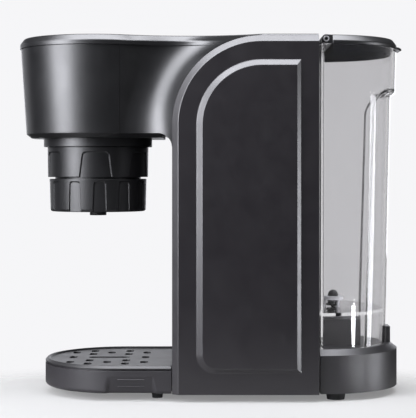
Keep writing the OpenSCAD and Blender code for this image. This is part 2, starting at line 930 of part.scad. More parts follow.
module top_cover() {
    mid = seam_z + cover_band;
    roof = cover_top - cover_t;
    over = cover_top + cut;
    color(c_black) {
        difference() {
            intersection() {
                loft([cover_ring(seam_z - cut, 0), cover_ring(mid, 0),
                    cover_ring((mid + over) / 2, cover_bevel / 2), cover_ring(over, cover_bevel)]);
                slab(far, -far, far, seam_z, cover_top);
            }
            post(drum_top_r - shell_t - cover_bevel, 0, drum_y, seam_z - cut, roof);
            slab(waist - shell_t - cover_bevel, drum_y, col_back - wall_t, seam_z - cut, roof);
            slab(half - shell_t - cover_bevel, arc_y, col_back - wall_t, seam_z - cut, roof);
            post(control_r + peg_play, 0, drum_y, cover_top - control_t, cover_top + cut);
            button_holes(roof - cut, cover_top + 2 * cut);
        }
        both_sides() {
            post(board_post_r, board_post_x, drum_y - board_post_front, board_top, roof + cut);
            post(board_post_r, board_post_x, drum_y + board_post_back, board_top, roof + cut);
        }
    }
}

module control_panel() {
    color(c_rubber) difference() {
        post(control_r, 0, drum_y, cover_top - control_t, cover_top);
        button_holes(cover_top - control_t - cut, cover_top + cut);
    }
}

module status_light() {
    color(c_white) post(light_r, 0, light_y, cover_top - light_depth, cover_top);
}

module button(r, x, y) {
    color(c_lid) {
        post(r, x, y, cover_top - cap_depth, cover_top + button_out);
        post(stem_r, x, y, stem_z, cover_top - cap_depth + cut);
    }
}

module power_button() {
    button(power_r, 0, drum_y - power_front);
}

module small_cup_button() {
    button(cup_button_r, -button_spread, drum_y + button_back);
}

module large_cup_button() {
    button(cup_button_r, button_spread, drum_y + button_back);
}

module control_board() {
    low = board_top - board_t;
    color(c_green) {
        slab(board_half_x, drum_y - board_front, drum_y + board_back, low, board_top);
        post(switch_r, 0, drum_y - power_front, board_top - board_t / 2, board_top + switch_h);
        both_sides()
            post(switch_r, button_spread, drum_y + button_back, board_top - board_t / 2,
                board_top + switch_h);
    }
}

module head_plate() {
    tail = waist;
    color(c_black) difference() {
        union() {
            intersection() {
                cone(drum_bottom_r - head_plate_bevel, drum_bottom_r, 0, drum_y, plate_z, head_z);
                slab(far, -far, drum_y + head_plate_back, plate_z, head_z);
            }
            translate([0, drum_y + head_plate_back, 0]) rotate([90, 0, 0])
                linear_extrude(head_plate_back)
                polygon([[-tail + head_plate_bevel, plate_z], [tail - head_plate_bevel, plate_z],
                    [tail, head_z], [-tail, head_z]]);
        }
        difference() {
            slab(far, col_front - neck_fillet, col_front, plate_z - cut, head_z + cut);
            rod_x(neck_fillet - play, -far, far, col_front - neck_fillet, head_z - neck_fillet);
        }
        post(collar_tube_r + play, 0, drum_y, plate_z - cut, head_z + cut);
    }
}

module brew_collar() {
    color(c_black) difference() {
        union() {
            post(collar_r, 0, drum_y, collar_z, plate_z);
            post(collar_tube_r, 0, drum_y, plate_z - cut, collar_top);
        }
        post(spigot_r + play, 0, drum_y, collar_z - cut, collar_top + cut);
        post(lug_r + lug_play, 0, drum_y, lug_z - lug_play, lug_z + lug_h + lug_play);
        for (i = [0:bayonets - 1])
            translate([0, drum_y, collar_z - cut])
                rotate([0, 0, i * 360 / bayonets + bayonet_turn - entry_play])
                rotate_extrude(angle = lug_angle + 2 * entry_play)
                square([lug_r + lug_play, lug_z - collar_z + cut]);
    }
}

// trapezoid with two rounded upper corners, for cutting flutes
module flute_line(foot, top, z0, z1, q) {
    polygon(concat([[-foot, z0], [foot, z0]],
        [for (i = [0:corner_steps]) let (g = 90 * i / corner_steps)
            [top - q + q * cos(g), z1 - q + q * sin(g)]],
        [for (i = [0:corner_steps]) let (g = 90 + 90 * i / corner_steps)
            [q - top + q * cos(g), z1 - q + q * sin(g)]]));
}

module flutes(n, turn, foot, top, z0, z1, q, ra, rb, za, zb) {
    difference() {
        for (i = [0:n - 1])
            translate([0, drum_y, 0]) rotate([0, 0, turn + i * 360 / n])
                on_side(ra / 2, ra) flute_line(foot, top, z0, z1, q);
        cone(ra - flute_d, rb - flute_d, 0, drum_y, za - cut, zb + cut);
    }
}

module adapter_ring() {
    color(c_black) difference() {
        union() {
            difference() {
                cone(adapter_bottom_r, adapter_top_r, 0, drum_y, adapter_z, adapter_top);
                flutes(adapter_flutes, adapter_flute_turn, adapter_bottom_r * sin(adapter_flute_foot),
                    adapter_top_r * sin(adapter_flute_top), adapter_z - cut, adapter_z + adapter_flute_h,
                    flute_corner, adapter_bottom_r, adapter_top_r, adapter_z, adapter_top);
            }
            post(spigot_r, 0, drum_y, adapter_top - cut, spigot_top);
            for (i = [0:bayonets - 1])
                translate([0, drum_y, lug_z]) rotate([0, 0, i * 360 / bayonets])
                    rotate_extrude(angle = lug_angle) translate([spigot_r - lug_root, 0])
                    square([lug_r - spigot_r + lug_root, lug_h]);
            post(neck_r, 0, drum_y, neck_z, adapter_z + cut);
        }
        post(neck_bore, 0, drum_y, neck_z - cut, gasket_top);
        post(adapter_bore, 0, drum_y, gasket_top - cut, spigot_top + cut);
        for (i = [0:holder_pegs - 1])
            helix_cut(i * 360 / holder_pegs);
    }
}

// sector that follows a peg of the union ring while the cup sinks
module helix_cut(a) {
    z0 = neck_z - cut;
    h = helix_top - z0;
    step = holder_turn / holder_drop;
    r0 = neck_bore - helix_over;
    r1 = neck_r + helix_over;
    translate([0, drum_y, z0]) rotate([0, 0, a + (peg_z - z0) * step])
        linear_extrude(height = h, twist = h * step, slices = helix_slices, segments = helix_sides)
        polygon([[r0 * cos(helix_half), -r0 * sin(helix_half)], [r1 * cos(helix_half),
            -r1 * sin(helix_half)],
            [r1 * cos(helix_half), r1 * sin(helix_half)], [r0 * cos(helix_half), r0 * sin(helix_half)]]);
}

module needle_plate() {
    top = gasket_top + needle_plate_t;
    color(c_steel) difference() {
        union() {
            post(adapter_bore - play, 0, drum_y, gasket_top, top);
            post(needle_r, 0, drum_y, gasket_top - needle_l, gasket_top + cut);
            cone(needle_r / 3, needle_r, 0, drum_y, gasket_top - needle_l - needle_tip,
                gasket_top - needle_l);
        }
        post(needle_r / 2, 0, drum_y, gasket_top - needle_l, top + cut);
    }
}

module capsule_gasket() {
    color(c_rubber) ring(neck_bore - play, gasket_r, 0, drum_y, gasket_z, gasket_top);
}

module brew_seal() {
    z = gasket_top + needle_plate_t;
    color(c_rubber) ring(seal_r, hose_bore, 0, drum_y, z, z + seal_t);
}

module brew_block() {
    top = block_z + block_h;
    color(c_white) difference() {
        union() {
            post(block_r, 0, drum_y, block_z, top);
            post(nipple_r, 0, drum_y, nipple_z, block_z + cut);
            post(hose_r, 0, drum_y, top - cut, top + fitting_h);
        }
        post(hose_bore, 0, drum_y, nipple_z - cut, top + fitting_h + cut);
    }
}

module capsule_cup() {
    color(c_black) difference() {
        union() {
            post(cup_out_r, 0, drum_y, cup_flange_z, cup_rim);
            post(ring_bore - play, 0, drum_y, cup_flange_z, cup_flange_z + cup_flange_t);
            post(cup_base_r, 0, drum_y, cup_base_z, cup_flange_z + cut);
        }
        cone(cup_r - cup_draft, cup_r + cup_draft, 0, drum_y, cup_floor, cup_rim + cut);
        post(spout_bore, 0, drum_y, cup_base_z - cut, cup_floor + cut);
    }
}

module coffee_spout() {
    color(c_rubber) ring(spout_r, spout_bore, 0, drum_y, spout_z, cup_base_z);
}

module union_ring() {
    mid = ring_z + ring_round;
    r = ring_bottom_r - ring_round;
    color(c_black) {
        difference() {
            translate([0, drum_y, 0]) rotate_extrude() {
                polygon([[0, ring_z], [r, ring_z], [r, mid], [ring_bottom_r, mid],
                    [ring_top_r, ring_top], [0, ring_top]]);
                translate([r, mid]) circle(ring_round);
            }
            flutes(ring_flutes, ring_flute_turn, ring_bottom_r * sin(ring_flute_foot),
                ring_top_r * sin(ring_flute_top), ring_z - cut, ring_z + ring_flute_h,
                ring_flute_corner, ring_bottom_r, ring_top_r, ring_z, ring_top);
            post(ring_bore, 0, drum_y, ring_z + ring_lip_t, ring_top + cut);
            post(ring_lip_r, 0, drum_y, ring_z - cut, ring_z + ring_lip_t + cut);
        }
        for (i = [0:holder_pegs - 1])
            translate([0, drum_y, peg_z]) rotate([0, 0, i * 360 / holder_pegs])
                rod_x(holder_peg_r, peg_tip, ring_bore + 2, 0, 0);
    }
}

// trapezoid of a side grip, drawn in by d
module grip_line(foot, top, z) {
    polygon([[grip_y - foot / 2, grip_foot_z], [grip_y + foot / 2, grip_foot_z],
        [grip_y + top / 2, z], [grip_y - top / 2, z]]);
}

// depth of the finger hollow at height z, full at the foot and none at the top
function grip_depth(z) = grip_d * (grip_top_z - z) / (grip_top_z - grip_foot_z);

module grip_boss_block(z0, z1) {
    box(tray_r - grip_d - grip_wall, tray_r - cut, grip_y - grip_foot / 2 - grip_boss,
        grip_y + grip_foot / 2 + grip_boss, z0, z1);
}

module drip_tray() {
    rim = tray_r - tray_round;
    color(c_tray) {
        difference() {
            u_sweep(tray_back) {
                strip(rim, tray_z, tray_top);
                strip(tray_r, tray_z + tray_round, tray_top - tray_groove_h);
                strip(tray_r - tray_groove_d, tray_z + tray_round, tray_top);
                translate([rim, tray_z + tray_round]) circle(tray_round);
            }
            difference() {
                union() {
                    u_sweep(tray_back - tray_t) strip(tray_r - tray_t, tray_floor_top, tray_top + cut);
                    u_sweep(tray_back + cut) strip(tray_r - tray_t, tray_z - cut, tray_floor_z);
                }
                both_sides() {
                    grip_boss_block(tray_z - cut, grip_top_z + grip_boss);
                }
            }
            both_sides() hull() {
                on_side(tray_r, cut) grip_line(grip_foot, grip_top, grip_top_z);
                on_side(tray_r - grip_d, cut)
                    grip_line(grip_foot - 2 * grip_slope, grip_foot - 2 * grip_slope, tray_z);
            }
        }
        both_sides() for (z = rib_zs)
            rod_y(rib_r, tray_r - grip_depth(z), grip_y - rib_l / 2, grip_y + rib_l / 2, z);
    }
}

module drain_hole(x, y) {
    r = hole_l / 2;
    d = hole_w / 2 - r;
    for (s = [-d, d])
        post(r, x + s, y, tray_top - grid_t, tray_top + grid_h);
    box(x - d, x + d, y - r, y + r, tray_top - grid_t, tray_top + grid_h);
}

module drip_grid() {
    face = tray_top + grid_face;
    low = face - grid_t;
    top = tray_top + grid_h;
    inner = tray_r - tray_t - grid_play;
    step = hole_pitch * 2;
    color(c_tray) difference() {
        union() {
            u_sweep(tray_back)
                polygon([[0, tray_top], [tray_r, tray_top], [tray_r, tray_top + grid_step],
                    [tray_r - top + tray_top + grid_step, top], [tray_r - grid_rim, top],
                    [tray_r - grid_rim - top + face, face], [0, face]]);
            u_sweep(tray_back - tray_t - grid_play) strip(inner, low, tray_top + cut / 2);
        }
        for (y = [-step, step])
            for (x = [-step, 0, step])
                drain_hole(x, slot_y + y);
        for (x = [-step, step])
            drain_hole(x, slot_y);
        for (y = [-hole_pitch, hole_pitch])
            for (x = [-step * 4 / 3, -step * 2 / 3, step * 2 / 3, step * 4 / 3])
                drain_hole(x, slot_y + y);
        for (s = [-1, 1])
            post(slot_w / 2, 0, slot_y + s * (slot_l - slot_w) / 2, low - cut, top);
        slab(slot_w / 2, slot_y - (slot_l - slot_w) / 2, slot_y + (slot_l - slot_w) / 2, low - cut, top);
    }
}

// places of the base screws as [x, y]
screw_spots = [[-screw_x, rear_y + screw_y], [screw_x, rear_y + screw_y], [0, rear_y + screw_far_y]];

module rear_base() {
    inner = base_r - base_t;
    deck = base_top - deck_t;
    well = pedestal_top - seal_ring_h;
    color(c_panel) {
        difference() {
            union() {
                d_cone(base_r, base_r, base_z, base_wall_top, base_front);
                d_cone(base_r, base_r - base_bevel, base_wall_top, base_top, base_front);
                slab(flange_half, col_back, base_front + cut, plate_top, base_wall_top);
                slab(pedestal_w / 2, pedestal_front, pedestal_front + pedestal_l, deck, pedestal_top);
                slab(tab_w / 2, tab_y, tab_y + tab_t, deck, base_top + tab_h);
            }
            difference() {
                union() {
                    d_cone(inner, inner, base_z - cut, base_wall_top - cut, base_front + base_t);
                    d_cone(inner, inner - base_bevel, base_wall_top - cut - cut / far, deck,
                        base_front + base_t);
                    slab(pedestal_w / 2 - pedestal_t, pedestal_front + pedestal_t,
                        pedestal_front + pedestal_l - pedestal_t, deck - cut, pedestal_top - pedestal_t);
                }
                post(socket_r + socket_wall, 0, valve_y, socket_floor - socket_floor_t, pedestal_top);
                post(hose_r, 0, valve_y, seat_fitting_z, socket_floor);
                for (p = screw_spots)
                    post(boss_r, p[0], p[1], base_z + cover_plate_t, base_top);
            }
            post(socket_r, 0, valve_y, socket_floor, pedestal_top + cut);
            post(seal_ring_r + seal_ring_play, 0, valve_y, well, pedestal_top + cut);
            post(hose_bore, 0, valve_y, seat_fitting_z - cut, socket_floor - socket_floor_t / 2);
            post(hose_bore / 2, hose_bore + probe_r, valve_y, socket_floor - socket_floor_t - cut,
                socket_floor + cut);
            rod_y(wall_hole_r, 0, col_back - cut, base_front + base_t + cut, hose_z);
            for (p = screw_spots)
                post(screw_r + screw_play, p[0], p[1], base_z, base_z + screw_l + cut);
            gland_axis() cylinder(r = gland_r + peg_play, h = far);
        }
        post(probe_r, 0, valve_y, socket_floor - cut, probe_top);
    }
}

// axis of the cord gland, which leaves the base at an angle
module gland_axis() {
    translate([0, rear_y, gland_z]) rotate([0, 0, gland_a]) rotate([0, 90, 0]) children();
}

module cord_gland() {
    color(c_rubber) gland_axis() difference() {
        union() {
            translate([0, 0, base_r - base_t - gland_in]) cylinder(r = gland_r,
                h = base_t + gland_in + gland_out);
            difference() {
                translate([0, 0, base_r - gland_out]) cylinder(r = gland_flange_r, h = gland_out * 2);
                rotate([0, -90, 0]) translate([0, 0, -far / 2]) cylinder(r = base_r + peg_play, h = far);
            }
        }
        cylinder(r = gland_bore, h = far);
    }
}

module base_cover() {
    low = base_z;
    color(c_black) difference() {
        d_cone(base_r - base_t - cover_play, base_r - base_t - cover_play, low, low + cover_plate_t,
            base_front + base_t + cover_play);
        for (p = screw_spots) {
            post(screw_r + screw_play, p[0], p[1], low - cut, low + cover_plate_t + cut);
            post(screw_head_r + screw_play, p[0], p[1], low - cut, low + screw_head_h);
        }
    }
}

module base_screws() {
    color(c_steel) for (p = screw_spots) {
        post(screw_head_r, p[0], p[1], base_z + screw_play, base_z + screw_head_h);
        post(screw_r, p[0], p[1], base_z + screw_head_h - cut / 2, base_z + screw_l);
    }
}

module socket_seal() {
    color(c_rubber) ring(seal_ring_r, outlet_r + seal_ring_play, 0, valve_y,
        pedestal_top - seal_ring_h, pedestal_top);
}

module rear_feet() {
    color(c_rubber) both_sides()
        cone(rear_foot_r - foot_draft, rear_foot_r, rear_foot_x, rear_y + rear_foot_y, 0, ground_gap);
}

module front_feet() {
    color(c_rubber) both_sides()
        cone(front_foot_r - foot_draft, front_foot_r, front_foot_x, col_front - front_foot_y, 0,
            ground_gap);
}

// the part of the tank's wall that is pushed in for the grip, widened by g and set in by d
module recess_zone(g, d) {
    w = recess_w / 2 + g;
    z = tank_top - recess_drop + g;
    q = recess_corner;
    low = tank_z - far;
    difference() {
        translate([0, rear_y + far, 0]) rotate([90, 0, 0]) linear_extrude(far) {
            translate([-w, low]) square([2 * w, z - q - low]);
            translate([q - w, low]) square([2 * (w - q), z - low]);
            translate([q - w, z - q]) circle(q);
            translate([w - q, z - q]) circle(q);
        }
        cone(tank_foot_r - d - tank_draft * cut, tank_top_r - d + tank_draft * cut, 0, rear_y,
            tank_z - cut, tank_top + cut);
        slab(far, rear_y - cut, far, tank_z - 2 * far, tank_z - cut);
    }
}

module water_tank() {
    flat = tank_flat + tank_t;
    color(c_clear) difference() {
        union() {
            difference() {
                d_cone(tank_foot_r, tank_top_r, tank_z, tank_top, tank_flat);
                recess_zone(0, recess_d);
                difference() {
                    union() {
                        d_cone(tank_r(tank_floor_top) - tank_t, tank_r(tank_top + cut) - tank_t,
                            tank_floor_top, tank_top + cut, flat);
                        d_cone(tank_r(tank_z - cut) - tank_t, tank_r(tank_floor_z) - tank_t,
                            tank_z - cut, tank_floor_z, flat);
                    }
                    recess_zone(tank_t, recess_d + tank_t);
                }
            }
            post(outlet_r, 0, valve_y, outlet_z, tank_floor_z + cut);
            both_sides() {
                rod_x(ear_r, ear_x, ear_x + ear_w, hinge_y, hinge_z);
                box(ear_x, ear_x + ear_w, hinge_y - ear_r, hinge_y + cut, tank_top - ear_foot, hinge_z);
            }
        }
        post(outlet_bore, 0, valve_y, outlet_z - cut, tank_floor_top + cut);
        rod_x(pin_r + pin_play, -far, far, hinge_y, hinge_z);
    }
}

module valve_cage() {
    color(c_white) {
        ring(cage_r, plunger_r + play, 0, valve_y, cage_z, cage_z + cage_t);
        for (i = [0:cage_posts - 1])
            translate([0, valve_y, 0]) rotate([0, 0, cage_turn + i * 360 / cage_posts])
                post(cage_post_r, cage_post_at, 0, tank_floor_top, cage_z + cage_t / 2);
    }
}

module valve_plunger() {
    color(c_rubber) {
        post(plunger_r, 0, valve_y, flange_valve_z, plunger_dome_z);
        intersection() {
            translate([0, valve_y, plunger_dome_z]) sphere(plunger_r);
            post(plunger_r * 2, 0, valve_y, plunger_dome_z - cut, far);
        }
        post(flange_valve_r, 0, valve_y, flange_valve_z, flange_valve_z + flange_valve_t);
        post(stem_valve_r, 0, valve_y, valve_stem_z, flange_valve_z + cut / 2);
    }
}

// spring between the plunger's flange and the cage, one tube from end to end
spring_low = flange_valve_z + flange_valve_t + wire_r;
spring_high = cage_z - wire_r;
spring_n = round(spring_turns * spring_steps);
spring_gap = (spring_high - spring_low) / spring_turns - 2 * wire_r;
echo(spring_gap = spring_gap);

function spring_at(i, j) =
    let (a = 360 * i / spring_steps, b = 360 * j / spring_sides, r = spring_r + wire_r * cos(b))
    [r * cos(a), valve_y + r * sin(a),
        spring_low + (spring_high - spring_low) * i / spring_n + wire_r * sin(b)];

module valve_spring() {
    color(c_steel) loft([for (i = [spring_n:-1:0]) [for (j = [0:spring_sides - 1]) spring_at(i, j)]]);
}

module hinge_pins() {
    color(c_steel) both_sides() difference() {
        union() {
            rod_x(pin_r, ear_x, knuckle_end + ear_play + cut / 2, hinge_y, hinge_z);
            rod_x(pin_head_r, knuckle_end + ear_play, knuckle_end + ear_play + pin_head_t, hinge_y,
                hinge_z);
        }
        rod_x(socket_pin_r, knuckle_end + ear_play + pin_head_t - socket_pin_d, far, hinge_y, hinge_z);
    }
}

module tank_lid() {
    band = lid_z + lid_band;
    tab = rear_y + lid_r;
    color(c_lid) difference() {
        union() {
            d_cone(lid_r, lid_r, lid_z, band, hinge_y);
            d_cone(lid_r, lid_r - lid_bevel, band, lid_top, hinge_y);
            rod_x(barrel_r, -knuckle_end, knuckle_end, hinge_y, hinge_z);
            slab(lid_tab_w / 2, tab - lid_rim_w, tab + lid_tab_out, lid_z, lid_z + lid_tab_t);
            slab(lid_tab_w / 2, tab, tab + lid_tab_out, lid_z - lid_tab_drop, lid_z + lid_tab_t);
        }
        d_cone(lid_r - lid_rim_w - lid_bevel, lid_r - lid_rim_w - lid_bevel, lid_z - cut, lid_top - lid_t,
            hinge_y + barrel_r + lid_rim_w);
        rod_x(pin_r + pin_play, -far, far, hinge_y, hinge_z);
        both_sides()
            box(ear_x - ear_play, ear_x + ear_w + ear_play, hinge_y - 2 * barrel_r, notch_back,
                lid_z - cut, lid_top + cut);
        both_sides()
            box(knuckle_end, far, hinge_y - 2 * barrel_r, notch_back, lid_z - cut, lid_top + cut);
    }
}

module boiler_bracket() {
    color(c_steel) difference() {
        slab(bracket_half, col_front + wall_t, col_back - wall_t, bracket_z, boiler_z);
        post(hose_r + fit, 0, pump_y, bracket_z - cut, boiler_z + cut);
    }
}

module boiler() {
    top = boiler_top + boiler_cap;
    color(c_steel) difference() {
        union() {
            post(boiler_r, 0, pump_y, boiler_z, boiler_top);
            post(boiler_r + boiler_cap_over, 0, pump_y, boiler_top - cut, top);
            post(hose_r, 0, pump_y, boiler_z - boiler_inlet, boiler_z + cut);
            post(hose_r, 0, pump_y, top - cut, top + fitting_h);
        }
        post(hose_bore, 0, pump_y, boiler_z - boiler_inlet - cut, boiler_z + cut);
        post(hose_bore, 0, pump_y, boiler_top, top + fitting_h + cut);
    }
}

module thermostat() {
    z = boiler_top + boiler_cap;
    color(c_white) both_sides() post(thermo_r, thermo_off, pump_y, z, z + thermo_h);
}

module pump_bracket() {
    hole = mount_r / 2;
    color(c_steel) {
        difference() {
            slab(shelf_half_x, pump_y - shelf_half_y, pump_y + shelf_half_y, shelf_z, shelf_z + shelf_t);
            post(hole, 0, pump_y, shelf_z - cut, shelf_z + shelf_t + cut);
        }
        both_sides()
            box(shelf_half_x - leg_t, shelf_half_x, pump_y - shelf_half_y, pump_y + shelf_half_y,
                plate_top, shelf_z + cut);
    }
}

module pump_mount() {
    color(c_rubber) ring(mount_r, hose_r + fit, 0, pump_y, shelf_z + shelf_t, pump_z);
}

module pump() {
    color(c_black) difference() {
        union() {
            post(pump_r, 0, pump_y, pump_z, pump_top);
            slab(core_half, pump_y - core_half, pump_y + core_half, pump_z + core_lift,
                pump_z + core_lift + core_h);
            post(hose_r, 0, pump_y, pump_inlet_z, pump_z + cut);
            post(hose_r, 0, pump_y, pump_top - cut, pump_top + fitting_h);
        }
        post(hose_bore, 0, pump_y, pump_inlet_z - cut, pump_z + cut);
        post(hose_bore, 0, pump_y, pump_top - cut, pump_top + fitting_h + cut);
    }
}

module flow_meter() {
    color(c_white) {
        post(meter_r, 0, meter_y, plate_top, plate_top + meter_h);
        rod_y(hose_r, 0, meter_y, meter_y + meter_r + fitting_h, hose_z);
        rod_y(hose_r, 0, meter_y - meter_r - fitting_h, meter_y, hose_z);
    }
}

module suction_hose() {
    color(c_hose) hose(0, [[meter_y + meter_r + fitting_h, hose_z], [valve_y, hose_z], [valve_y,
        seat_fitting_z]]);
}

module feed_hose() {
    color(c_hose) hose(0, [[meter_y - meter_r - fitting_h, hose_z], [pump_y, hose_z], [pump_y,
        pump_inlet_z]]);
}

module pressure_hose() {
    color(c_hose) hose(0, [[pump_y, pump_top + fitting_h], [pump_y, boiler_z - boiler_inlet]]);
}

module brew_hose() {
    color(c_hose) hose(0, [[pump_y, boiler_top + boiler_cap + fitting_h], [pump_y, brew_hose_z],
        [drum_y, brew_hose_z], [drum_y, block_z + block_h + fitting_h]]);
}

module power_board() {
    y = col_back - wall_t - stand_l - pcb_t;
    mid = pcb_z + pcb_h / 2;
    color(c_green) {
        slab(pcb_half, y, y + pcb_t, pcb_z, pcb_z + pcb_h);
        box(-coil_w, 0, y - coil_d, y + pcb_t / 2, mid, mid + coil_h);
        box(cap_r, cap_r + relay_w, y - relay_d, y + pcb_t / 2, mid, mid + relay_h);
        for (x = [-cap_l, cap_l])
            rod_y(cap_r, x, y - cap_l, y + pcb_t / 2, pcb_z + 2 * cap_r);
    }
}

chassis_plate();
column_front();
rear_wall();
left_side_panel();
right_side_panel();
neck_housing();
head_shell();
top_cover();
control_panel();
status_light();
head_plate();
brew_collar();
brew_block();
boiler();
boiler_bracket();
thermostat();
pump();
pump_mount();
pump_bracket();
flow_meter();
suction_hose();
feed_hose();
pressure_hose();
brew_hose();
power_board();
control_board();
rear_base();
base_cover();
socket_seal();
cord_gland();
front_feet();
rear_feet();
base_screws();
power_button();
small_cup_button();
large_cup_button();
adapter_ring();
needle_plate();
capsule_gasket();
brew_seal();
capsule_cup();
coffee_spout();
union_ring();
drip_tray();
drip_grid();
water_tank();
valve_cage();
hinge_pins();
valve_plunger();
valve_spring();
tank_lid();
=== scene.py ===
import json
import math
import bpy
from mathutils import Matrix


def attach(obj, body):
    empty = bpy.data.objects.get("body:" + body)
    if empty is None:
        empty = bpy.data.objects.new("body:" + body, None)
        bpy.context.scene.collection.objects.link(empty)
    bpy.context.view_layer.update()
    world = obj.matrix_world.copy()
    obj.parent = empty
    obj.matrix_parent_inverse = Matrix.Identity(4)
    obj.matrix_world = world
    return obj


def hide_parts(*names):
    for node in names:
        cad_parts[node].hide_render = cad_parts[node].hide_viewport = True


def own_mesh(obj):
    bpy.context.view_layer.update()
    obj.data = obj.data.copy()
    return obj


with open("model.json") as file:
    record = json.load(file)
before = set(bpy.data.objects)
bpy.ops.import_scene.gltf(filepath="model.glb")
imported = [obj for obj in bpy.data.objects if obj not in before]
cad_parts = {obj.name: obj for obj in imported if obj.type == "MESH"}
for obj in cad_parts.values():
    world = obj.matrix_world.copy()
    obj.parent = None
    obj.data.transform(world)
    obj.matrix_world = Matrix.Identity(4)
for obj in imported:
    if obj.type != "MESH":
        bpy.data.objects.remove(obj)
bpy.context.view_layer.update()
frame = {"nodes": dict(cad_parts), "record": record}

from types import SimpleNamespace

import bmesh
import bpy
import numpy as np

MM = 0.001
MICRON = 0.001 * MM

# Main sizes in millimetres, after the part's source. The drum is at the front, towards -y, and the
# tank at the back; z runs up from the table, and both sides of x = 0 are alike.

HALF = 66.0
COL_FRONT, COL_BACK = -30.65, 86.65
BODY_LOW, BODY_TOP = 6.0, 292.7
ARC_R = 72.0
ARC_Y, ARC_Z = COL_FRONT + ARC_R, BODY_TOP - ARC_R

BREW_REACH, DRUM_H = 64.1, 71.2
COVER_STAND, COVER_H = 1.6, 8.3
DRUM_Y = COL_FRONT - BREW_REACH
COVER_TOP = BODY_TOP + COVER_STAND
SEAM_Z = COVER_TOP - COVER_H
HEAD_LOW = SEAM_Z - DRUM_H

BASE_H, TANK_H, TANK_GAP = 35.0, 245.0, 1.4
REAR_Y = 90.85
TANK_FLAT = COL_BACK + TANK_GAP
TANK_LOW = BODY_LOW + BASE_H
TANK_TOP = TANK_LOW + TANK_H
HINGE_Y, HINGE_Z = TANK_FLAT + 4.8, TANK_TOP + 4.4
LID_LOW = TANK_TOP + 0.3
LID_TOP = LID_LOW + 7.4


# Surface tools

LONGEST_TRIM = 0.48
WELD, SLIVER = 1e-6, 1e-7


def grid_of(x, y, z):
    """Grid of points from three arrays that broadcast together."""
    return np.stack(np.broadcast_arrays(x, y, z), -1)


def skin(grid, around=True, along=False, low=False, high=False):
    """Quads between neighbouring points of a grid; around joins the last column to the first,
    along the last row to the first; low and high close the first and last rows with one polygon."""
    rows, cols = grid.shape[:2]
    row = np.arange(rows if along else rows - 1)[:, None]
    col = np.arange(cols if around else cols - 1)
    here, above, right = row * cols, (row + 1) % rows * cols, (col + 1) % cols
    quads = np.stack([here + col, here + right, above + right, above + col], -1).reshape(-1, 4)
    caps = [np.arange(cols)[::-1]] if low else []
    caps += [(rows - 1) * cols + np.arange(cols)] if high else []
    return grid.reshape(-1, 3), quads.tolist() + [c.tolist() for c in caps]


def ease(x):
    """Smooth step 3x^2 - 2x^3 between 0 and 1."""
    x = np.clip(x, 0, 1)
    return x * x * (3 - 2 * x)


def soft_path(corners, trim, steps=4, closed=False):
    """Straight lines between corners, each corner eased by the quadratic curve
    (1-t)^2 a + 2t(1-t) k + t^2 b that leaves the two lines a trim's length from it, or just short
    of their middle where they are too short for that."""
    k = np.asarray(corners, float)
    size = np.broadcast_to(np.asarray(trim, float), (len(k),))

    def trimmed(line):
        return line * np.minimum(size / np.linalg.norm(line, axis=1), LONGEST_TRIM)[:, None]

    a, b = k + trimmed(np.roll(k, 1, 0) - k), k + trimmed(np.roll(k, -1, 0) - k)
    t = np.linspace(0, 1, steps + 1)[:, None]
    bends = (1 - t) ** 2 * a[:, None] + 2 * t * (1 - t) * k[:, None] + t ** 2 * b[:, None]
    if closed:
        return bends.reshape(-1, k.shape[1])
    return np.vstack([k[:1], bends[1:-1].reshape(-1, k.shape[1]), k[-1:]])


def soft_box(low, high, trim):
    """Closed rectangle between two corners of a profile, with eased corners."""
    return soft_path([low, (high[0], low[1]), high, (low[0], high[1])], trim, 3, True)


def arc(centre, radius, start, end, steps):
    """Points of a circle between two angles in degrees."""
    g = np.radians(np.linspace(start, end, steps))
    return np.stack([centre[0] + radius * np.cos(g), centre[1] + radius * np.sin(g)], -1)


def upright(place, z):
    """Points of a profile at one place and the heights z."""
    return np.stack([np.full(len(z), place), z], -1)


def stretches(stops, steps):
    """Values from the first stop to the last, with a number of even steps in each stretch."""
    parts = [np.linspace(a, b, n, endpoint=False) for a, b, n in zip(stops, stops[1:], steps)]
    return np.concatenate(parts + [stops[-1:]])


def past_corner(side, top, corner):
    """Signed distance to an outline with a side, a top and a round corner between them, from the
    distances past its side and past its top."""
    qx, qz = side + corner, top + corner
    return np.hypot(np.maximum(qx, 0), np.maximum(qz, 0)) + np.minimum(np.maximum(qx, qz), 0) - corner


def turned(profile, y, steps=96, start=0.0, sweep=360.0):
    """A closed profile of (radius, z) turned about the upright line x = 0 at y."""
    r, z = np.asarray(profile, float).T
    full = sweep >= 360
    g = np.radians(start + np.linspace(0, sweep, steps, endpoint=not full))[:, None]
    grid = grid_of(r * np.cos(g), y + r * np.sin(g), z)
    return skin(grid, along=full, low=not full, high=not full)


def drawn(loop, x0, x1, soft=0.3):
    """A closed loop of (y, z) drawn straight along x from x0 to x1; near both ends it draws in
    towards its middle along a quarter circle, so that the edges there are round."""
    p = np.asarray(loop, float)
    mid = p.mean(0)
    out = p - mid
    q = np.radians(np.linspace(0, 90, 5))[:, None]
    x = np.r_[x0 + soft * (1 - np.cos(q)), x1 - soft * (1 - np.cos(q[::-1]))]
    k = 1 - soft * (1 - np.sin(np.r_[q, q[::-1]])) / np.abs(out).max()
    return skin(grid_of(x, mid[0] + k * out[:, 0], mid[1] + k * out[:, 1]), low=True, high=True)


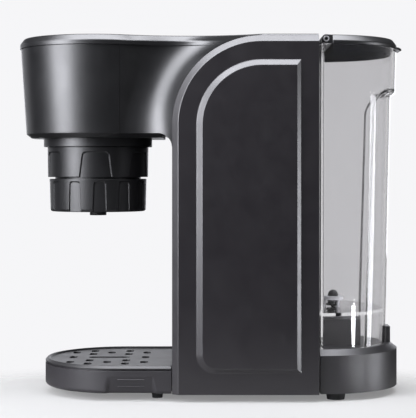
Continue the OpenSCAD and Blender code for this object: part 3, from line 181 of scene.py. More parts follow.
def piece(name, body, finish, skins, stands_for=(), sharp=32):
    """One object from several skins: doubles merged, faces turned outwards, smooth but for edges
    sharper than an angle in degrees."""
    points, faces, count = [], [], 0
    for p, f in skins:
        points.append(p)
        faces += [[count + i for i in q] for q in f]
        count += len(p)
    mesh = bpy.data.meshes.new(name)
    mesh.from_pydata((np.vstack(points) * MM).tolist(), [], faces)
    bm = bmesh.new()
    bm.from_mesh(mesh)
    bmesh.ops.remove_doubles(bm, verts=bm.verts, dist=WELD)
    bmesh.ops.dissolve_degenerate(bm, edges=bm.edges, dist=SLIVER)
    bmesh.ops.recalc_face_normals(bm, faces=bm.faces)
    bm.to_mesh(mesh)
    bm.free()
    mesh.shade_smooth()
    mesh.set_sharp_from_angle(angle=math.radians(sharp))
    obj = bpy.data.objects.new(name, mesh)
    bpy.context.scene.collection.objects.link(obj)
    even = obj.modifiers.new("even_shading", "WEIGHTED_NORMAL")
    even.keep_sharp = True
    mesh.materials.append(finish)
    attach(obj, body)
    if stands_for:
        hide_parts(*stands_for)
    return obj


# Finishes

NOISE_LOW, NOISE_HIGH = 0.3, 0.7
MIX_FACTOR, MIX_A, MIX_B, MIX_COLOUR = 0, 6, 7, 2  # sockets of a Mix node set to colour
CLOUD, PATCH = 0.05, 0.03
DECK_MATTE, DECK_START, DECK_END = 0.27, 0.4 * MM, 0.1 * MM
SCRATCH_DARK, SCRATCH_LIGHT, SCRATCH_ROUGH, SCRATCH_D = 0.88, 1.1, 0.08, 4 * MICRON
# Painted shade in a bore: the colour's share left inside the bore's radius, and the soft edge of that dark
# disc
BORE_PAINTED_SHADE, BORE_SHADE_EDGE = 0.06, 0.2 * MM
PLASTIC_IOR, CLEAR_IOR = 1.49, 1.36
FLOW_D, FLOW_STRENGTH = 120 * MICRON, 0.5


def set_inputs(tree, node, inputs):
    """Each input, by name or number, takes a link from an output or a constant."""
    for socket, value in inputs.items():
        if isinstance(value, bpy.types.NodeSocket):
            tree.links.new(value, node.inputs[socket])
        else:
            node.inputs[socket].default_value = value


def add_node(tree, kind, inputs, **settings):
    """A new node with its settings and inputs."""
    node = tree.nodes.new(kind)
    for setting, value in settings.items():
        setattr(node, setting, value)
    set_inputs(tree, node, inputs)
    return node


def node_tree(name):
    """A new material with a Principled shader and Object coordinates."""
    mat = bpy.data.materials.new(name)
    mat.use_nodes = True
    tree = mat.node_tree
    place = tree.nodes.new("ShaderNodeTexCoord")
    return mat, tree, tree.nodes["Principled BSDF"], place.outputs["Object"]


def noise(tree, place, scale, detail=3.0, rough=0.5, stretch=None):
    """Noise of the given number of cells a metre, stretched along an axis if asked."""
    if stretch:
        place = add_node(tree, "ShaderNodeMapping", {"Vector": place, "Scale": stretch}).outputs["Vector"]
    cells = add_node(tree, "ShaderNodeTexNoise",
                     {"Vector": place, "Scale": scale, "Detail": detail, "Roughness": rough})
    return cells.outputs["Fac"]


def spread(tree, value, low, high):
    """Maps the middle range of a noise onto low to high."""
    span = add_node(tree, "ShaderNodeMapRange", {"Value": value, "From Min": NOISE_LOW,
                                                 "From Max": NOISE_HIGH, "To Min": low, "To Max": high})
    return span.outputs["Result"]


def blend_colour(tree, factor, a, b):
    """Colour between a and b by the factor; each of them is a colour or an output."""
    a, b = (end if isinstance(end, bpy.types.NodeSocket) else (*end, 1) for end in (a, b))
    mix = add_node(tree, "ShaderNodeMix", {MIX_FACTOR: factor, MIX_A: a, MIX_B: b}, data_type="RGBA")
    return mix.outputs[MIX_COLOUR]


def bumps(tree, height, depth, strength=1.0):
    """Normals of a surface relief of the given depth in metres."""
    relief = add_node(tree, "ShaderNodeBump", {"Height": height, "Distance": depth, "Strength": strength})
    return relief.outputs["Normal"]


def matte_above(tree, place, polish, height):
    """Roughness that rises just under the given height, as on a finely grained deck."""
    axes = add_node(tree, "ShaderNodeSeparateXYZ", {"Vector": place})
    rise = add_node(tree, "ShaderNodeMapRange", {"Value": axes.outputs["Z"], "From Min": height - DECK_START,
                                                 "From Max": height - DECK_END, "To Max": DECK_MATTE})
    return add_node(tree, "ShaderNodeMath", {0: rise.outputs["Result"], 1: polish}).outputs[0]


def outside_painted_bore_shade(tree, place, y, z, radius):
    """Mask of the painted shade in a bore: 0 within a radius of a line along x and 1 beyond it, with a
    narrow soft edge.
    """
    flat = add_node(tree, "ShaderNodeVectorMath", {0: place, 1: (0, 1, 1)}, operation="MULTIPLY")
    away = add_node(tree, "ShaderNodeVectorMath", {0: flat.outputs[0], 1: (0, y, z)}, operation="DISTANCE")
    edge = add_node(tree, "ShaderNodeMapRange", {
        "Value": away.outputs["Value"], "From Min": radius - BORE_SHADE_EDGE, "From Max": radius + BORE_SHADE_EDGE})
    return edge.outputs["Result"]


def moulded(name, colour, rough, grain=1800, depth=10, gloss=0.5, deck=None):
    """Moulded plastic: spark-eroded grain of so many cells a metre and a depth in micrometres, faint
    flow clouds in the colour, patches of polish, and a matte deck at a height if asked."""
    mat, tree, shader, place = node_tree(name)
    c = np.array(colour)
    flow = noise(tree, place, scale=22.0, detail=4.0, rough=0.6, stretch=(1.0, 1.0, 0.45))
    patches = noise(tree, place, scale=55.0, detail=5.0, rough=0.65)
    polish = spread(tree, patches, rough - PATCH, rough + PATCH)
    if deck:
        polish = matte_above(tree, place, polish, deck * MM)
    relief = noise(tree, place, scale=grain, detail=2.0)
    set_inputs(tree, shader, {
        "Base Color": blend_colour(tree, spread(tree, flow, 0.0, 1.0), c * (1 - CLOUD), c * (1 + CLOUD)),
        "Roughness": polish, "Normal": bumps(tree, relief, depth * MICRON),
        "IOR": PLASTIC_IOR, "Specular IOR Level": gloss})
    return mat


def metal(name, colour, rough, stretch=(1.0, 1.0, 1.0), painted_bore_shade=None):
    """Drawn metal: fine scratches, stretched along an axis if asked, and painted shade that darkens a bore
    about a line along x if asked, given by its y, z and radius."""
    mat, tree, shader, place = node_tree(name)
    c = np.array(colour)
    line = noise(tree, place, scale=900.0, rough=0.6, stretch=stretch)
    tint = blend_colour(tree, line, c * SCRATCH_DARK, np.minimum(c * SCRATCH_LIGHT, 1))
    # painted shade: colour inside the bore's radius is darkened to stand for the shade that falls in the
    # hole
    if painted_bore_shade:
        y, z, radius = (size * MM for size in painted_bore_shade)
        tint = blend_colour(tree, outside_painted_bore_shade(tree, place, y, z, radius), c * BORE_PAINTED_SHADE, tint)
    set_inputs(tree, shader, {
        "Base Color": tint, "Normal": bumps(tree, line, SCRATCH_D), "Metallic": 1.0,
        "Roughness": spread(tree, line, rough - SCRATCH_ROUGH, rough + SCRATCH_ROUGH)})
    return mat


def smoky_clear(name):
    """Clear moulded plastic with a grey tint, faint flow lines and slight haze."""
    mat, tree, shader, place = node_tree(name)
    flow = noise(tree, place, scale=16.0, stretch=(1.0, 1.0, 0.3))
    tint = blend_colour(tree, spread(tree, flow, 0.0, 1.0), (0.725, 0.721, 0.729), (0.755, 0.751, 0.759))
    haze = spread(tree, noise(tree, place, scale=40.0, detail=4.0, rough=0.6), 0.02, 0.06)
    set_inputs(tree, shader, {
        "Base Color": tint, "Roughness": haze, "IOR": CLEAR_IOR, "Transmission Weight": 1.0,
        "Normal": bumps(tree, flow, FLOW_D, FLOW_STRENGTH)})
    return mat


def circuit(name):
    """Green solder mask with fine tracks from a brick pattern."""
    mat, tree, shader, place = node_tree(name)
    tracks = add_node(tree, "ShaderNodeTexBrick", {
        "Vector": place, "Scale": 120.0, "Color1": (0.012, 0.075, 0.030, 1),
        "Color2": (0.010, 0.060, 0.026, 1), "Mortar": (0.030, 0.140, 0.060, 1), "Mortar Size": 0.03})
    set_inputs(tree, shader, {"Base Color": tracks.outputs["Color"],
                              "Roughness": spread(tree, noise(tree, place, scale=60.0), 0.3, 0.45)})
    return mat


panel_black = moulded("panel_black", (0.0135, 0.0112, 0.0148), 0.35, grain=1500, depth=12, gloss=0.85)
head_black = moulded("head_black", (0.0070, 0.0072, 0.0085), 0.35, grain=2200, depth=5, gloss=0.9)
cover_black = moulded("cover_black", (0.0070, 0.0072, 0.0085), 0.35, grain=2200, depth=5, gloss=0.9,
                      deck=COVER_TOP)
holder_black = moulded("holder_black", (0.0085, 0.0087, 0.0100), 0.38, depth=8, gloss=0.7)
tray_grey = moulded("tray_grey", (0.0290, 0.0270, 0.0310), 0.46, grain=1500, depth=12)
grid_grey = moulded("grid_grey", (0.0150, 0.0143, 0.0160), 0.47, grain=1500, depth=12, gloss=0.7)
base_black = moulded("base_black", (0.0115, 0.0100, 0.0132), 0.42, grain=1300, depth=30, gloss=0.9)
lid_black = moulded("lid_black", (0.0110, 0.0112, 0.0130), 0.36, depth=8, gloss=0.9, deck=LID_TOP)
plug_black = moulded("plug_black", (0.0040, 0.0046, 0.0080), 0.85, grain=1500, gloss=0.0)
cage_white = moulded("cage_white", (0.86, 0.86, 0.88), 0.40, depth=6)
control_black = moulded("control_black", (0.0050, 0.0050, 0.0058), 0.46, grain=2400, depth=3, gloss=0.4)
button_grey = moulded("button_grey", (0.060, 0.060, 0.063), 0.38, grain=2000, depth=6)
light_white = moulded("light_white", (0.62, 0.66, 0.70), 0.30, grain=2000, depth=4)
inner_grey = moulded("inner_grey", (0.62, 0.62, 0.63), 0.45, grain=1500)
pump_white = moulded("pump_white", (0.55, 0.54, 0.51), 0.45, grain=1500)
soft_rubber = moulded("soft_rubber", (0.014, 0.014, 0.015), 0.60, grain=1100, depth=18)
hose_clear = moulded("hose_clear", (0.62, 0.62, 0.60), 0.40, grain=900, depth=8)
# the hinge pin's bore gets painted shade, a dark disc about the hinge axis
pin_zinc = metal("pin_zinc", (0.74, 0.74, 0.76), 0.42, painted_bore_shade=(HINGE_Y, HINGE_Z, 1.4))
bright_steel = metal("bright_steel", (0.60, 0.60, 0.61), 0.28, (1.0, 1.0, 0.06))
cast_aluminium = metal("cast_aluminium", (0.55, 0.55, 0.56), 0.42)
clear_smoke = smoky_clear("clear_smoke")
green_board = circuit("green_board")

finish_of = {
    "panel_plastic": panel_black, "head_plastic": head_black, "tray_plastic": tray_grey,
    "lid_plastic": lid_black, "clear_plastic": clear_smoke, "control_plastic": control_black,
    "button_plastic": button_grey, "light_plastic": light_white, "inner_plastic": inner_grey,
    "pump_plastic": pump_white, "steel": bright_steel, "boiler_metal": cast_aluminium,
    "rubber": soft_rubber, "hose_silicone": hose_clear, "board": green_board,
}
slot_of = {s["node"]: s["material_slot"] for s in frame["record"]["subparts"]}


# Side panels

PANEL_T, PANEL_EDGE, PANEL_BEVEL, PANEL_CORNER = 5.0, 0.8, 5.0, 0.4
FIELD_H, FIELD_FRONT, FIELD_REAR, FIELD_LOW, FIELD_CORNER = 3.2, 19.6, 14.3, 17.5, 15.0
FIELD_BEVEL, FIELD_BEVEL_REAR, FIELD_FLAT = 4.7, 3.6, 1.7


def side_panel(side):
    """Outline of rear edge, top edge, quarter arc, front edge and lower front corner arc of radius q,
    drawn in by front, rear and low while x grows: chamfered frame, flat, then the bevel of the raised
    field."""
    face = HALF + PANEL_T
    field = np.array([FIELD_FRONT, FIELD_REAR, FIELD_LOW, FIELD_CORNER])
    crest = field + (FIELD_BEVEL, FIELD_BEVEL_REAR, FIELD_BEVEL_REAR, -FIELD_BEVEL_REAR)
    middle = crest + (FIELD_FLAT, FIELD_FLAT, FIELD_FLAT, -FIELD_FLAT)
    rings = soft_path([(0, 0, 0, PANEL_CORNER, HALF), (0, 0, 0, PANEL_CORNER, HALF + PANEL_EDGE),
                       (PANEL_BEVEL, 0, 0, 2 * PANEL_CORNER, face), (*field, face),
                       (*crest, face + FIELD_H), (*middle, face + FIELD_H)],
                      (0, 0.3, 0.7, 1.2, 0.8, 0), 5)
    front, rear, low, q, x = rings.T[:, :, None]
    g = np.radians(np.linspace(90, 180, 81))
    h = np.radians(np.linspace(180, 270, 17))
    y = np.concatenate([COL_BACK - rear, COL_BACK - rear, ARC_Y + (ARC_R - front) * np.cos(g),
                        COL_FRONT + front + q + q * np.cos(h)], 1)
    z = np.concatenate([BODY_LOW + low, BODY_TOP - front, ARC_Z + (ARC_R - front) * np.sin(g),
                        BODY_LOW + low + q + q * np.sin(h)], 1)
    return skin(grid_of(side * x, y, z), low=True, high=True)


for side, node in ((1, "right_side_panel"), (-1, "left_side_panel")):
    piece(node.replace("_side_panel", "_panel_skin"), "machine", panel_black,
          [side_panel(side)], [node], sharp=24)


# Head: drum, neck and cover

DRUM_LOW_R, DRUM_TOP_R, SHELL = 60.0, 64.6, 2.6
SEAM_BACK, SEAM_GAP = 21.6, 0.15
WAIST, FOOT_SPREAD, FILLET = 47.0, 6.5, 12.0
COVER_LIP, COVER_WALL, COVER_BAND, COVER_BEVEL, COVER_T = 0.9, 4.0, 3.5, 3.56, 2.8
DECK_IN, DECK_HALF, DECK_REACH, DECK_ROUND_R = 8.0, 18.0, 0.9, 50.0
CONTROL_RIM_R, CONTROL_R, CONTROL_HOLE_R, CONTROL_SEAT = 46.0, 44.15, 36.0, 1.4


def drum_shell():
    """Tapered wall profile turned about the drum's axis, cut by the seam's flat plane: at radius r
    the angle from +y runs from arccos(s / r) round the front to the same angle on the other side."""
    r, z = soft_path([(DRUM_LOW_R, HEAD_LOW), (DRUM_TOP_R, SEAM_Z), (DRUM_TOP_R - SHELL, SEAM_Z),
                      (DRUM_LOW_R - SHELL, HEAD_LOW)], 0.5, 3, True).T
    start = np.arccos((SEAM_BACK - SEAM_GAP) / r)
    g = start + np.linspace(0, 1, 161)[:, None] * (2 * np.pi - 2 * start)
    return skin(grid_of(r * np.sin(g), DRUM_Y + r * np.cos(g), z), low=True, high=True)


def panel_front(z):
    """Front edge of the side panels at height z: straight, then the quarter arc."""
    up = np.clip(np.minimum(z, BODY_TOP) - ARC_Z, 0, ARC_R)
    return ARC_Y - np.sqrt(ARC_R ** 2 - up ** 2)


def flare_steps(drum_steps, hollow_steps):
    """For the points of a flare: whether each lies on the drum's arc, and its share of its own arc."""
    on_drum = np.arange(drum_steps + hollow_steps) < drum_steps
    return on_drum, np.r_[np.linspace(0, 1, drum_steps), np.linspace(0, 1, hollow_steps + 1)[1:]]


def flare(r, waist, half, back, inward, start, steps):
    """Head seen from above: an arc of the drum's radius r, then a hollow arc tangent to it that
    touches the waist and ends at a half width, a distance back behind the axis; both move inward.
    The hollow arc's run from its centre to its end solves the quadratic that these conditions give."""
    on_drum, share = steps
    a, c = r - waist, half - waist
    k = (a - c) / c
    m = a * (r + waist) + a * c - back * back
    run = (-back + np.sqrt(back * back - k * m)) / k
    hollow_r = (run * run / c + c) / 2
    centre_y = np.sqrt(a * (r + waist + 2 * hollow_r))
    centre_x = waist + hollow_r
    meet = np.arctan2(centre_x, centre_y)
    end = 2 * np.pi + np.arctan2(half - centre_x, back - centre_y)
    g = start + (meet - start) * share
    h = np.pi + meet + (end - np.pi - meet) * share
    x = np.where(on_drum, (r - inward) * np.sin(g),
                 np.minimum(half, centre_x + (hollow_r + inward) * np.sin(h)))
    y = np.where(on_drum, (r - inward) * np.cos(g), centre_y + (hollow_r + inward) * np.cos(h))
    return x, DRUM_Y + y


def neck():
    """The flare at each height between the fillet's curve and the seam, as an outer and an inner
    wall on both sides joined by the floor; the fillet is a quarter circle in side view, and the waist
    widens towards the foot."""
    steps = flare_steps(14, 60)

    def wall(z, inward):
        up = (z - HEAD_LOW) / (SEAM_Z - HEAD_LOW)
        r = DRUM_LOW_R + (DRUM_TOP_R - DRUM_LOW_R) * up
        return flare(r, WAIST + FOOT_SPREAD * ease(1 - up), HALF, panel_front(z) - DRUM_Y, inward,
                     np.arccos(SEAM_BACK / (r - inward)), steps)

    v = np.linspace(0, 1, 61)[:, None]
    foot_y = wall(np.full(steps[1].shape, HEAD_LOW), 0)[1]
    past = np.clip(foot_y - (COL_FRONT - FILLET), 0, FILLET)
    low = HEAD_LOW - FILLET + np.sqrt(FILLET ** 2 - past ** 2)
    outer_z = low + (SEAM_Z - low) * v
    inner_z = HEAD_LOW + SHELL + (SEAM_Z - HEAD_LOW - SHELL) * v + 0 * low
    outer = grid_of(*wall(np.maximum(outer_z, HEAD_LOW), 0), outer_z)
    inner = grid_of(*wall(inner_z, SHELL), inner_z)
    right = np.concatenate([outer, inner[::-1]])
    points, faces = skin(np.concatenate([right, right[::-1] * (-1, 1, 1)]), around=False, along=True)
    # quads that close the wall's section at the seam and at the panels
    n, cols = len(v), len(low)
    k = np.arange(n - 1)
    rows = [np.stack([b + k, b + k + 1, b + 2 * n - 2 - k, b + 2 * n - 1 - k], -1) for b in (0, 2 * n)]
    ends = np.concatenate(rows + [np.array([[0, 2 * n - 1, 2 * n, 4 * n - 1]])]) * cols
    return points, faces + ends.tolist() + (ends[:, ::-1] + cols - 1).tolist()


def cover():
    """Rings of the flare drawn in by d as z rises, a middle ring that turns from a circle on the drum
    into two straight lines along the deck, rings of the control panel's round recess at the middle
    ring's bearings from the drum's axis, and back under the roof to the first ring."""
    drum_steps, hollow_steps, side_steps = 72, 48, 12
    deck_start, deck_steps = drum_steps - 6, 34
    under = COVER_TOP - COVER_T
    edge = soft_path([(COVER_WALL, SEAM_Z), (0, SEAM_Z), (0, SEAM_Z + COVER_BAND), (COVER_BEVEL, COVER_TOP),
                      (DECK_IN, COVER_TOP)], (0, 0.3, 0.9, 1.0, 0), 5)
    d, z = np.vstack([edge, [(DECK_IN, under)]]).T[:, :, None]
    x, y = flare(DRUM_TOP_R + COVER_LIP - d, WAIST + COVER_LIP - d, HALF - d, panel_front(z) - DRUM_Y,
                 0, np.pi, flare_steps(drum_steps, hollow_steps))
    back = np.linspace(0, 1, side_steps + 1)[1:]
    x = np.concatenate([x, x[:, -1:] + 0 * back], 1)
    y = np.concatenate([y, y[:, -1:] + (COL_BACK - y[:, -1:]) * back], 1)
    turn = np.arctan2(x[-1], y[-1] - DRUM_Y)
    deck = ease((np.arange(x.shape[1]) - deck_start) / deck_steps)
    mid_x = DECK_ROUND_R * np.sin(turn) * (1 - deck) + DECK_HALF * deck
    mid_y = DECK_ROUND_R * np.cos(turn) * (1 - deck) + DECK_REACH * (y[-1] - DRUM_Y) * deck
    mid_x, mid_y = np.r_[mid_x, -mid_x[:0:-1]], np.r_[mid_y, mid_y[:0:-1]]
    outline = grid_of(np.concatenate([x, -x[:, :0:-1]], 1), np.concatenate([y, y[:, :0:-1]], 1), z)
    middle = grid_of(mid_x, DRUM_Y + mid_y, z[-2:])
    bearing = np.arctan2(mid_x, mid_y)
    seat = COVER_TOP - CONTROL_SEAT
    r, zr = soft_path([(CONTROL_RIM_R, COVER_TOP), (CONTROL_R, COVER_TOP), (CONTROL_R, seat),
                       (CONTROL_HOLE_R, seat), (CONTROL_HOLE_R, under)],
                      (0, 0.3, 0.2, 0.2, 0), 3).T[:, :, None]
    bowl = grid_of(r * np.sin(bearing), DRUM_Y + r * np.cos(bearing), zr)
    return skin(np.concatenate([outline[:-1], middle[:1], bowl, middle[1:], outline[-1:]]), along=True)


piece("drum_skin", "machine", head_black, [drum_shell()], ["head_shell"])
piece("neck_skin", "machine", head_black, [neck()], ["neck_housing"])
piece("cover_skin", "machine", cover_black, [cover()], ["top_cover"])


# Capsule holder: adapter and union ring, both about the drum's axis

# Both rings: heights, radii and the heights with close rows; then the flutes: their number, the first
# one's angle, their half width at foot and head and the angles with close columns, in degrees, their
# height and corner, and the radius at which their width is measured
ADAPTER = SimpleNamespace(low=179.2, top=204.2, low_r=42.1, top_r=42.5, fine=(196.0, 200.6),
                          flutes=6, turn=1.5, foot=18.8, head=14.5, sides=(13.6, 19.6), tall=20.7,
                          corner=3.0, girth=42.3)
UNION = SimpleNamespace(low=150.5, top=177.7, low_r=40.4, top_r=40.9, fine=(172.6, 176.1),
                        flutes=12, turn=6.2, foot=8.0, head=6.5, sides=(5.9, 8.7), tall=24.9,
                        corner=1.8, girth=40.7)
FLUTE_D, FLUTE_BELOW, FLUTE_SOFT = 1.0, 1.0, 0.42
EDGE_RUN, WALL_END, WALL_DRAFT, FINE_BEVEL = 0.5, 0.6, 0.01, 0.2
NECK_R, NECK_BORE, NECK_LOW, NECK_HIGH, NECK_BEVEL = 36.2, 33.2, 157.9, 180.0, 0.3
MOUTH_BEVEL = 0.8
SPIGOT_BORE, SPIGOT_R, SPIGOT_LOW, SPIGOT_TOP = 31.6, 37.5, 203.5, 218.0
BAYONETS = 3
LUG_ROOT_R, LUG_R, LUG_LOW, LUG_TOP, LUG_SWEEP = 36.0, 40.8, 212.6, 217.0, 30.0
PEG_Z, PEG_R, PEG_TIP_R, PEG_IN, PEG_OUT = 170.7, 2.2, 0.2, 33.8, 38.5
HELIX_TURN, HELIX_HALF = 4.5, 13.5  # degrees a millimetre, degrees
HELIX_R, HELIX_TOP, HELIX_SOFT = 33.5, 173.4, 0.25
HELIX_FINE = (172.4, 174.2)
UNION_ROUND, UNION_BORE, UNION_LIP_R, UNION_BEVEL = 2.4, 36.5, 29.0, 0.4


def grip_angles(ring):
    """Angles every 1.5 degrees, and every 0.12 degrees where the sides of the flutes lie."""
    edge = np.arange(*ring.sides, 0.12)
    mid = ring.turn + np.arange(ring.flutes) * 360 / ring.flutes
    all_round = np.concatenate([np.arange(0, 360, 1.5), (mid[:, None] + np.r_[edge, -edge]).ravel()])
    return np.radians(np.unique(np.round(np.mod(all_round, 360), 2)))


def flute(ring, angle, z):
    """Share of a flute's depth: signed distance to a tapered outline with round top corners, eased."""
    step = 2 * np.pi / ring.flutes
    local = (angle - math.radians(ring.turn) + step / 2) % step - step / 2
    foot = ring.low_r * math.sin(math.radians(ring.foot))
    head = ring.top_r * math.sin(math.radians(ring.head))
    start, end = ring.low - FLUTE_BELOW, ring.low + ring.tall
    half = foot + (head - foot) * (z - start) / (end - start)
    d = past_corner(np.abs(ring.girth * np.sin(local)) - half, z - end, ring.corner)
    return ease((FLUTE_SOFT - d) / (2 * FLUTE_SOFT))


def carved(profile, angles, mask_at, floor_at):
    """A closed profile of (radius, z) turned about the drum's axis; where the mask is 1 the radius
    comes in to the floor."""
    r, z = profile.T[:, :, None]
    cut = r - mask_at(angles, z) * np.maximum(r - floor_at(z), 0)
    return skin(grid_of(cut * np.cos(angles), DRUM_Y + cut * np.sin(angles), z), along=True)


def grip_ring(ring, profile):
    """A ring with flutes down to a cone, FLUTE_D inside the cone of its own side."""
    def floor_at(z):
        return ring.low_r - FLUTE_D + (ring.top_r - ring.low_r) * (z - ring.low) / (ring.top - ring.low)

    return carved(profile, grip_angles(ring), lambda angle, z: flute(ring, angle, z), floor_at)


def wall_rows(low, high, fine):
    """Points of a straight wall between two (radius, z), 1 mm apart, and 0.2 mm apart in a fine range."""
    z = np.unique(np.round(np.r_[np.arange(low[1], high[1], 1.0), np.arange(*fine, 0.2), high[1]], 3))
    return np.stack([low[0] + (high[0] - low[0]) * (z - low[1]) / (high[1] - low[1]), z], -1)


def helix_groove(angle, z):
    """Share of a groove's depth: the grooves turn with the height, pass the pegs and stop short of the
    neck's top."""
    step = 2 * np.pi / BAYONETS
    local = (angle - np.radians((PEG_Z - z) * HELIX_TURN) + step / 2) % step - step / 2
    side = np.abs(local) * NECK_R - NECK_R * math.radians(HELIX_HALF)
    return ease((HELIX_SOFT - np.maximum(side, z - HELIX_TOP)) / (2 * HELIX_SOFT))


def adapter():
    """Fluted ring, spigot, three bayonet lugs and the neck with three helical grooves."""
    low, top, low_r, top_r = ADAPTER.low, ADAPTER.top, ADAPTER.low_r, ADAPTER.top_r
    side = wall_rows((low_r + WALL_DRAFT, low + WALL_END), (top_r - WALL_DRAFT, top - WALL_END),
                     ADAPTER.fine)
    edge = soft_path([(top_r, top - EDGE_RUN), (top_r, top), (NECK_BORE + MOUTH_BEVEL, top),
                      (NECK_BORE, top - MOUTH_BEVEL), (NECK_BORE, low + FINE_BEVEL),
                      (NECK_BORE + FINE_BEVEL, low), (low_r - FINE_BEVEL / 2, low), (low_r, low + EDGE_RUN)],
                     (0, 0.5, 0.4, 0.2, 0.2, 0.1, 0.4, 0), 4)
    grips = grip_ring(ADAPTER, np.vstack([side, edge]))
    tube = np.vstack([wall_rows((NECK_R, NECK_LOW + NECK_BEVEL), (NECK_R, NECK_HIGH), HELIX_FINE),
                      [(NECK_BORE + FINE_BEVEL, NECK_HIGH), (NECK_BORE + FINE_BEVEL, NECK_LOW),
                       (NECK_R - NECK_BEVEL, NECK_LOW)]])
    neck_tube = carved(tube, np.radians(np.arange(0, 360, 1.0)), helix_groove, lambda z: HELIX_R)
    spigot = turned(soft_box((SPIGOT_BORE, SPIGOT_LOW), (SPIGOT_R, SPIGOT_TOP), 0.4), DRUM_Y)
    lug = soft_box((LUG_ROOT_R, LUG_LOW), (LUG_R, LUG_TOP), 0.4)
    lugs = [turned(lug, DRUM_Y, steps=24, start=i * 360 / BAYONETS, sweep=LUG_SWEEP)
            for i in range(BAYONETS)]
    return [grips, neck_tube, spigot] + lugs


def union():
    """Fluted ring with a rounded foot, an inward lip and three pegs for the helical grooves."""
    low, top, low_r, top_r = UNION.low, UNION.top, UNION.low_r, UNION.top_r
    lip_top = low + UNION_ROUND
    side = wall_rows((low_r, lip_top), (top_r - WALL_DRAFT, top - WALL_END), UNION.fine)
    edge = soft_path([(top_r, top - EDGE_RUN), (top_r, top), (UNION_BORE + UNION_BEVEL, top),
                      (UNION_BORE, top - UNION_BEVEL), (UNION_BORE, lip_top), (UNION_LIP_R, lip_top),
                      (UNION_LIP_R, low), (UNION_LIP_R + 1, low)], (0, 0.5, 0.2, 0.2, 0.2, 0.4, 0.4, 0), 4)
    foot = arc((low_r - UNION_ROUND, lip_top), UNION_ROUND, -90, 0, 13)[:-1]
    grips = grip_ring(UNION, np.vstack([side, edge, foot]))
    h = np.radians(np.arange(0, 360, 20))
    across, out = soft_path([(PEG_TIP_R, PEG_IN), (PEG_R, PEG_IN), (PEG_R, PEG_OUT), (PEG_TIP_R, PEG_OUT)],
                            (0, 0.4, 0.1, 0), 3).T[:, :, None]
    beside, up = across * np.cos(h), PEG_Z + across * np.sin(h)
    pegs = []
    for turn in np.radians(np.arange(BAYONETS) * 360 / BAYONETS):
        c, s = math.cos(turn), math.sin(turn)
        peg = grid_of(out * c - beside * s, DRUM_Y + out * s + beside * c, up)
        pegs.append(skin(peg, low=True, high=True))
    return [grips] + pegs


piece("adapter_grip", "adapter", holder_black, adapter(), ["adapter_ring"], sharp=40)
piece("union_grip", "union", holder_black, union(), ["union_ring"], sharp=40)


# Drip tray

TRAY_R, TRAY_LEN, TRAY_H, TRAY_GAP, TRAY_T, TRAY_ROUND = 66.0, 107.5, 19.8, 0.6, 3.0, 3.0
TRAY_LOW, TRAY_BACK = BODY_LOW, COL_FRONT - TRAY_GAP
TRAY_TOP, TRAY_CY = TRAY_LOW + TRAY_H, TRAY_BACK - TRAY_LEN + TRAY_R
RIM_IN, RIM_DROP, RIM_RUN = 1.9, 1.6, 0.5
RISE_START, INNER_END = 0.4, 0.2
TRAY_FLOOR, TRAY_FLOOR_T, TRAY_FLOOR_R, TRAY_FLOOR_GAP = 10.2, 2.4, 63.4, 0.4
HOLLOW_Y, HOLLOW_LOW, HOLLOW_TOP, HOLLOW_D = COL_FRONT - 33.0, 5.0, 20.0, 4.0
HOLLOW_FOOT, HOLLOW_HEAD, HOLLOW_FRONT = 21.5, 18.0, TRAY_CY - 14.0
HOLLOW_EDGE, HOLLOW_SLOPE = 1.0, 0.9
RIB_HALF, RIB_R, RIB_HEIGHTS = 10.2, 0.6, (11.7, 17.3)


def u_path(r, back):
    """Right side, front half circle and left side of the tray at distances r from its middle line."""
    s = np.linspace(0, 1, 90, endpoint=False)
    a = np.radians(np.linspace(0, -180, 129))
    side = back + (TRAY_CY - back) * s + 0 * r
    x = np.concatenate([r + 0 * s, r * np.cos(a), -r + 0 * s], 1)
    return x, np.concatenate([side, TRAY_CY + r * np.sin(a), side[:, ::-1]], 1)


def hollow_depth(z):
    """Depth of the finger hollow at a height: nothing at its top, most at its foot."""
    return HOLLOW_D * np.clip((HOLLOW_TOP - z) / (HOLLOW_TOP - HOLLOW_LOW), 0, 1)


def pressed(x, y, z):
    """x with both sides of the tray pushed in by the finger hollows, whose own sides slope and ease."""
    up = (z - HOLLOW_LOW) / (HOLLOW_TOP - HOLLOW_LOW)
    half = HOLLOW_FOOT + (HOLLOW_HEAD - HOLLOW_FOOT) * up
    deep = hollow_depth(z)
    push = deep * ease((half - np.abs(y - HOLLOW_Y)) / (HOLLOW_EDGE + HOLLOW_SLOPE * deep))
    return x - np.sign(x) * np.where(y > HOLLOW_FRONT, push, 0)


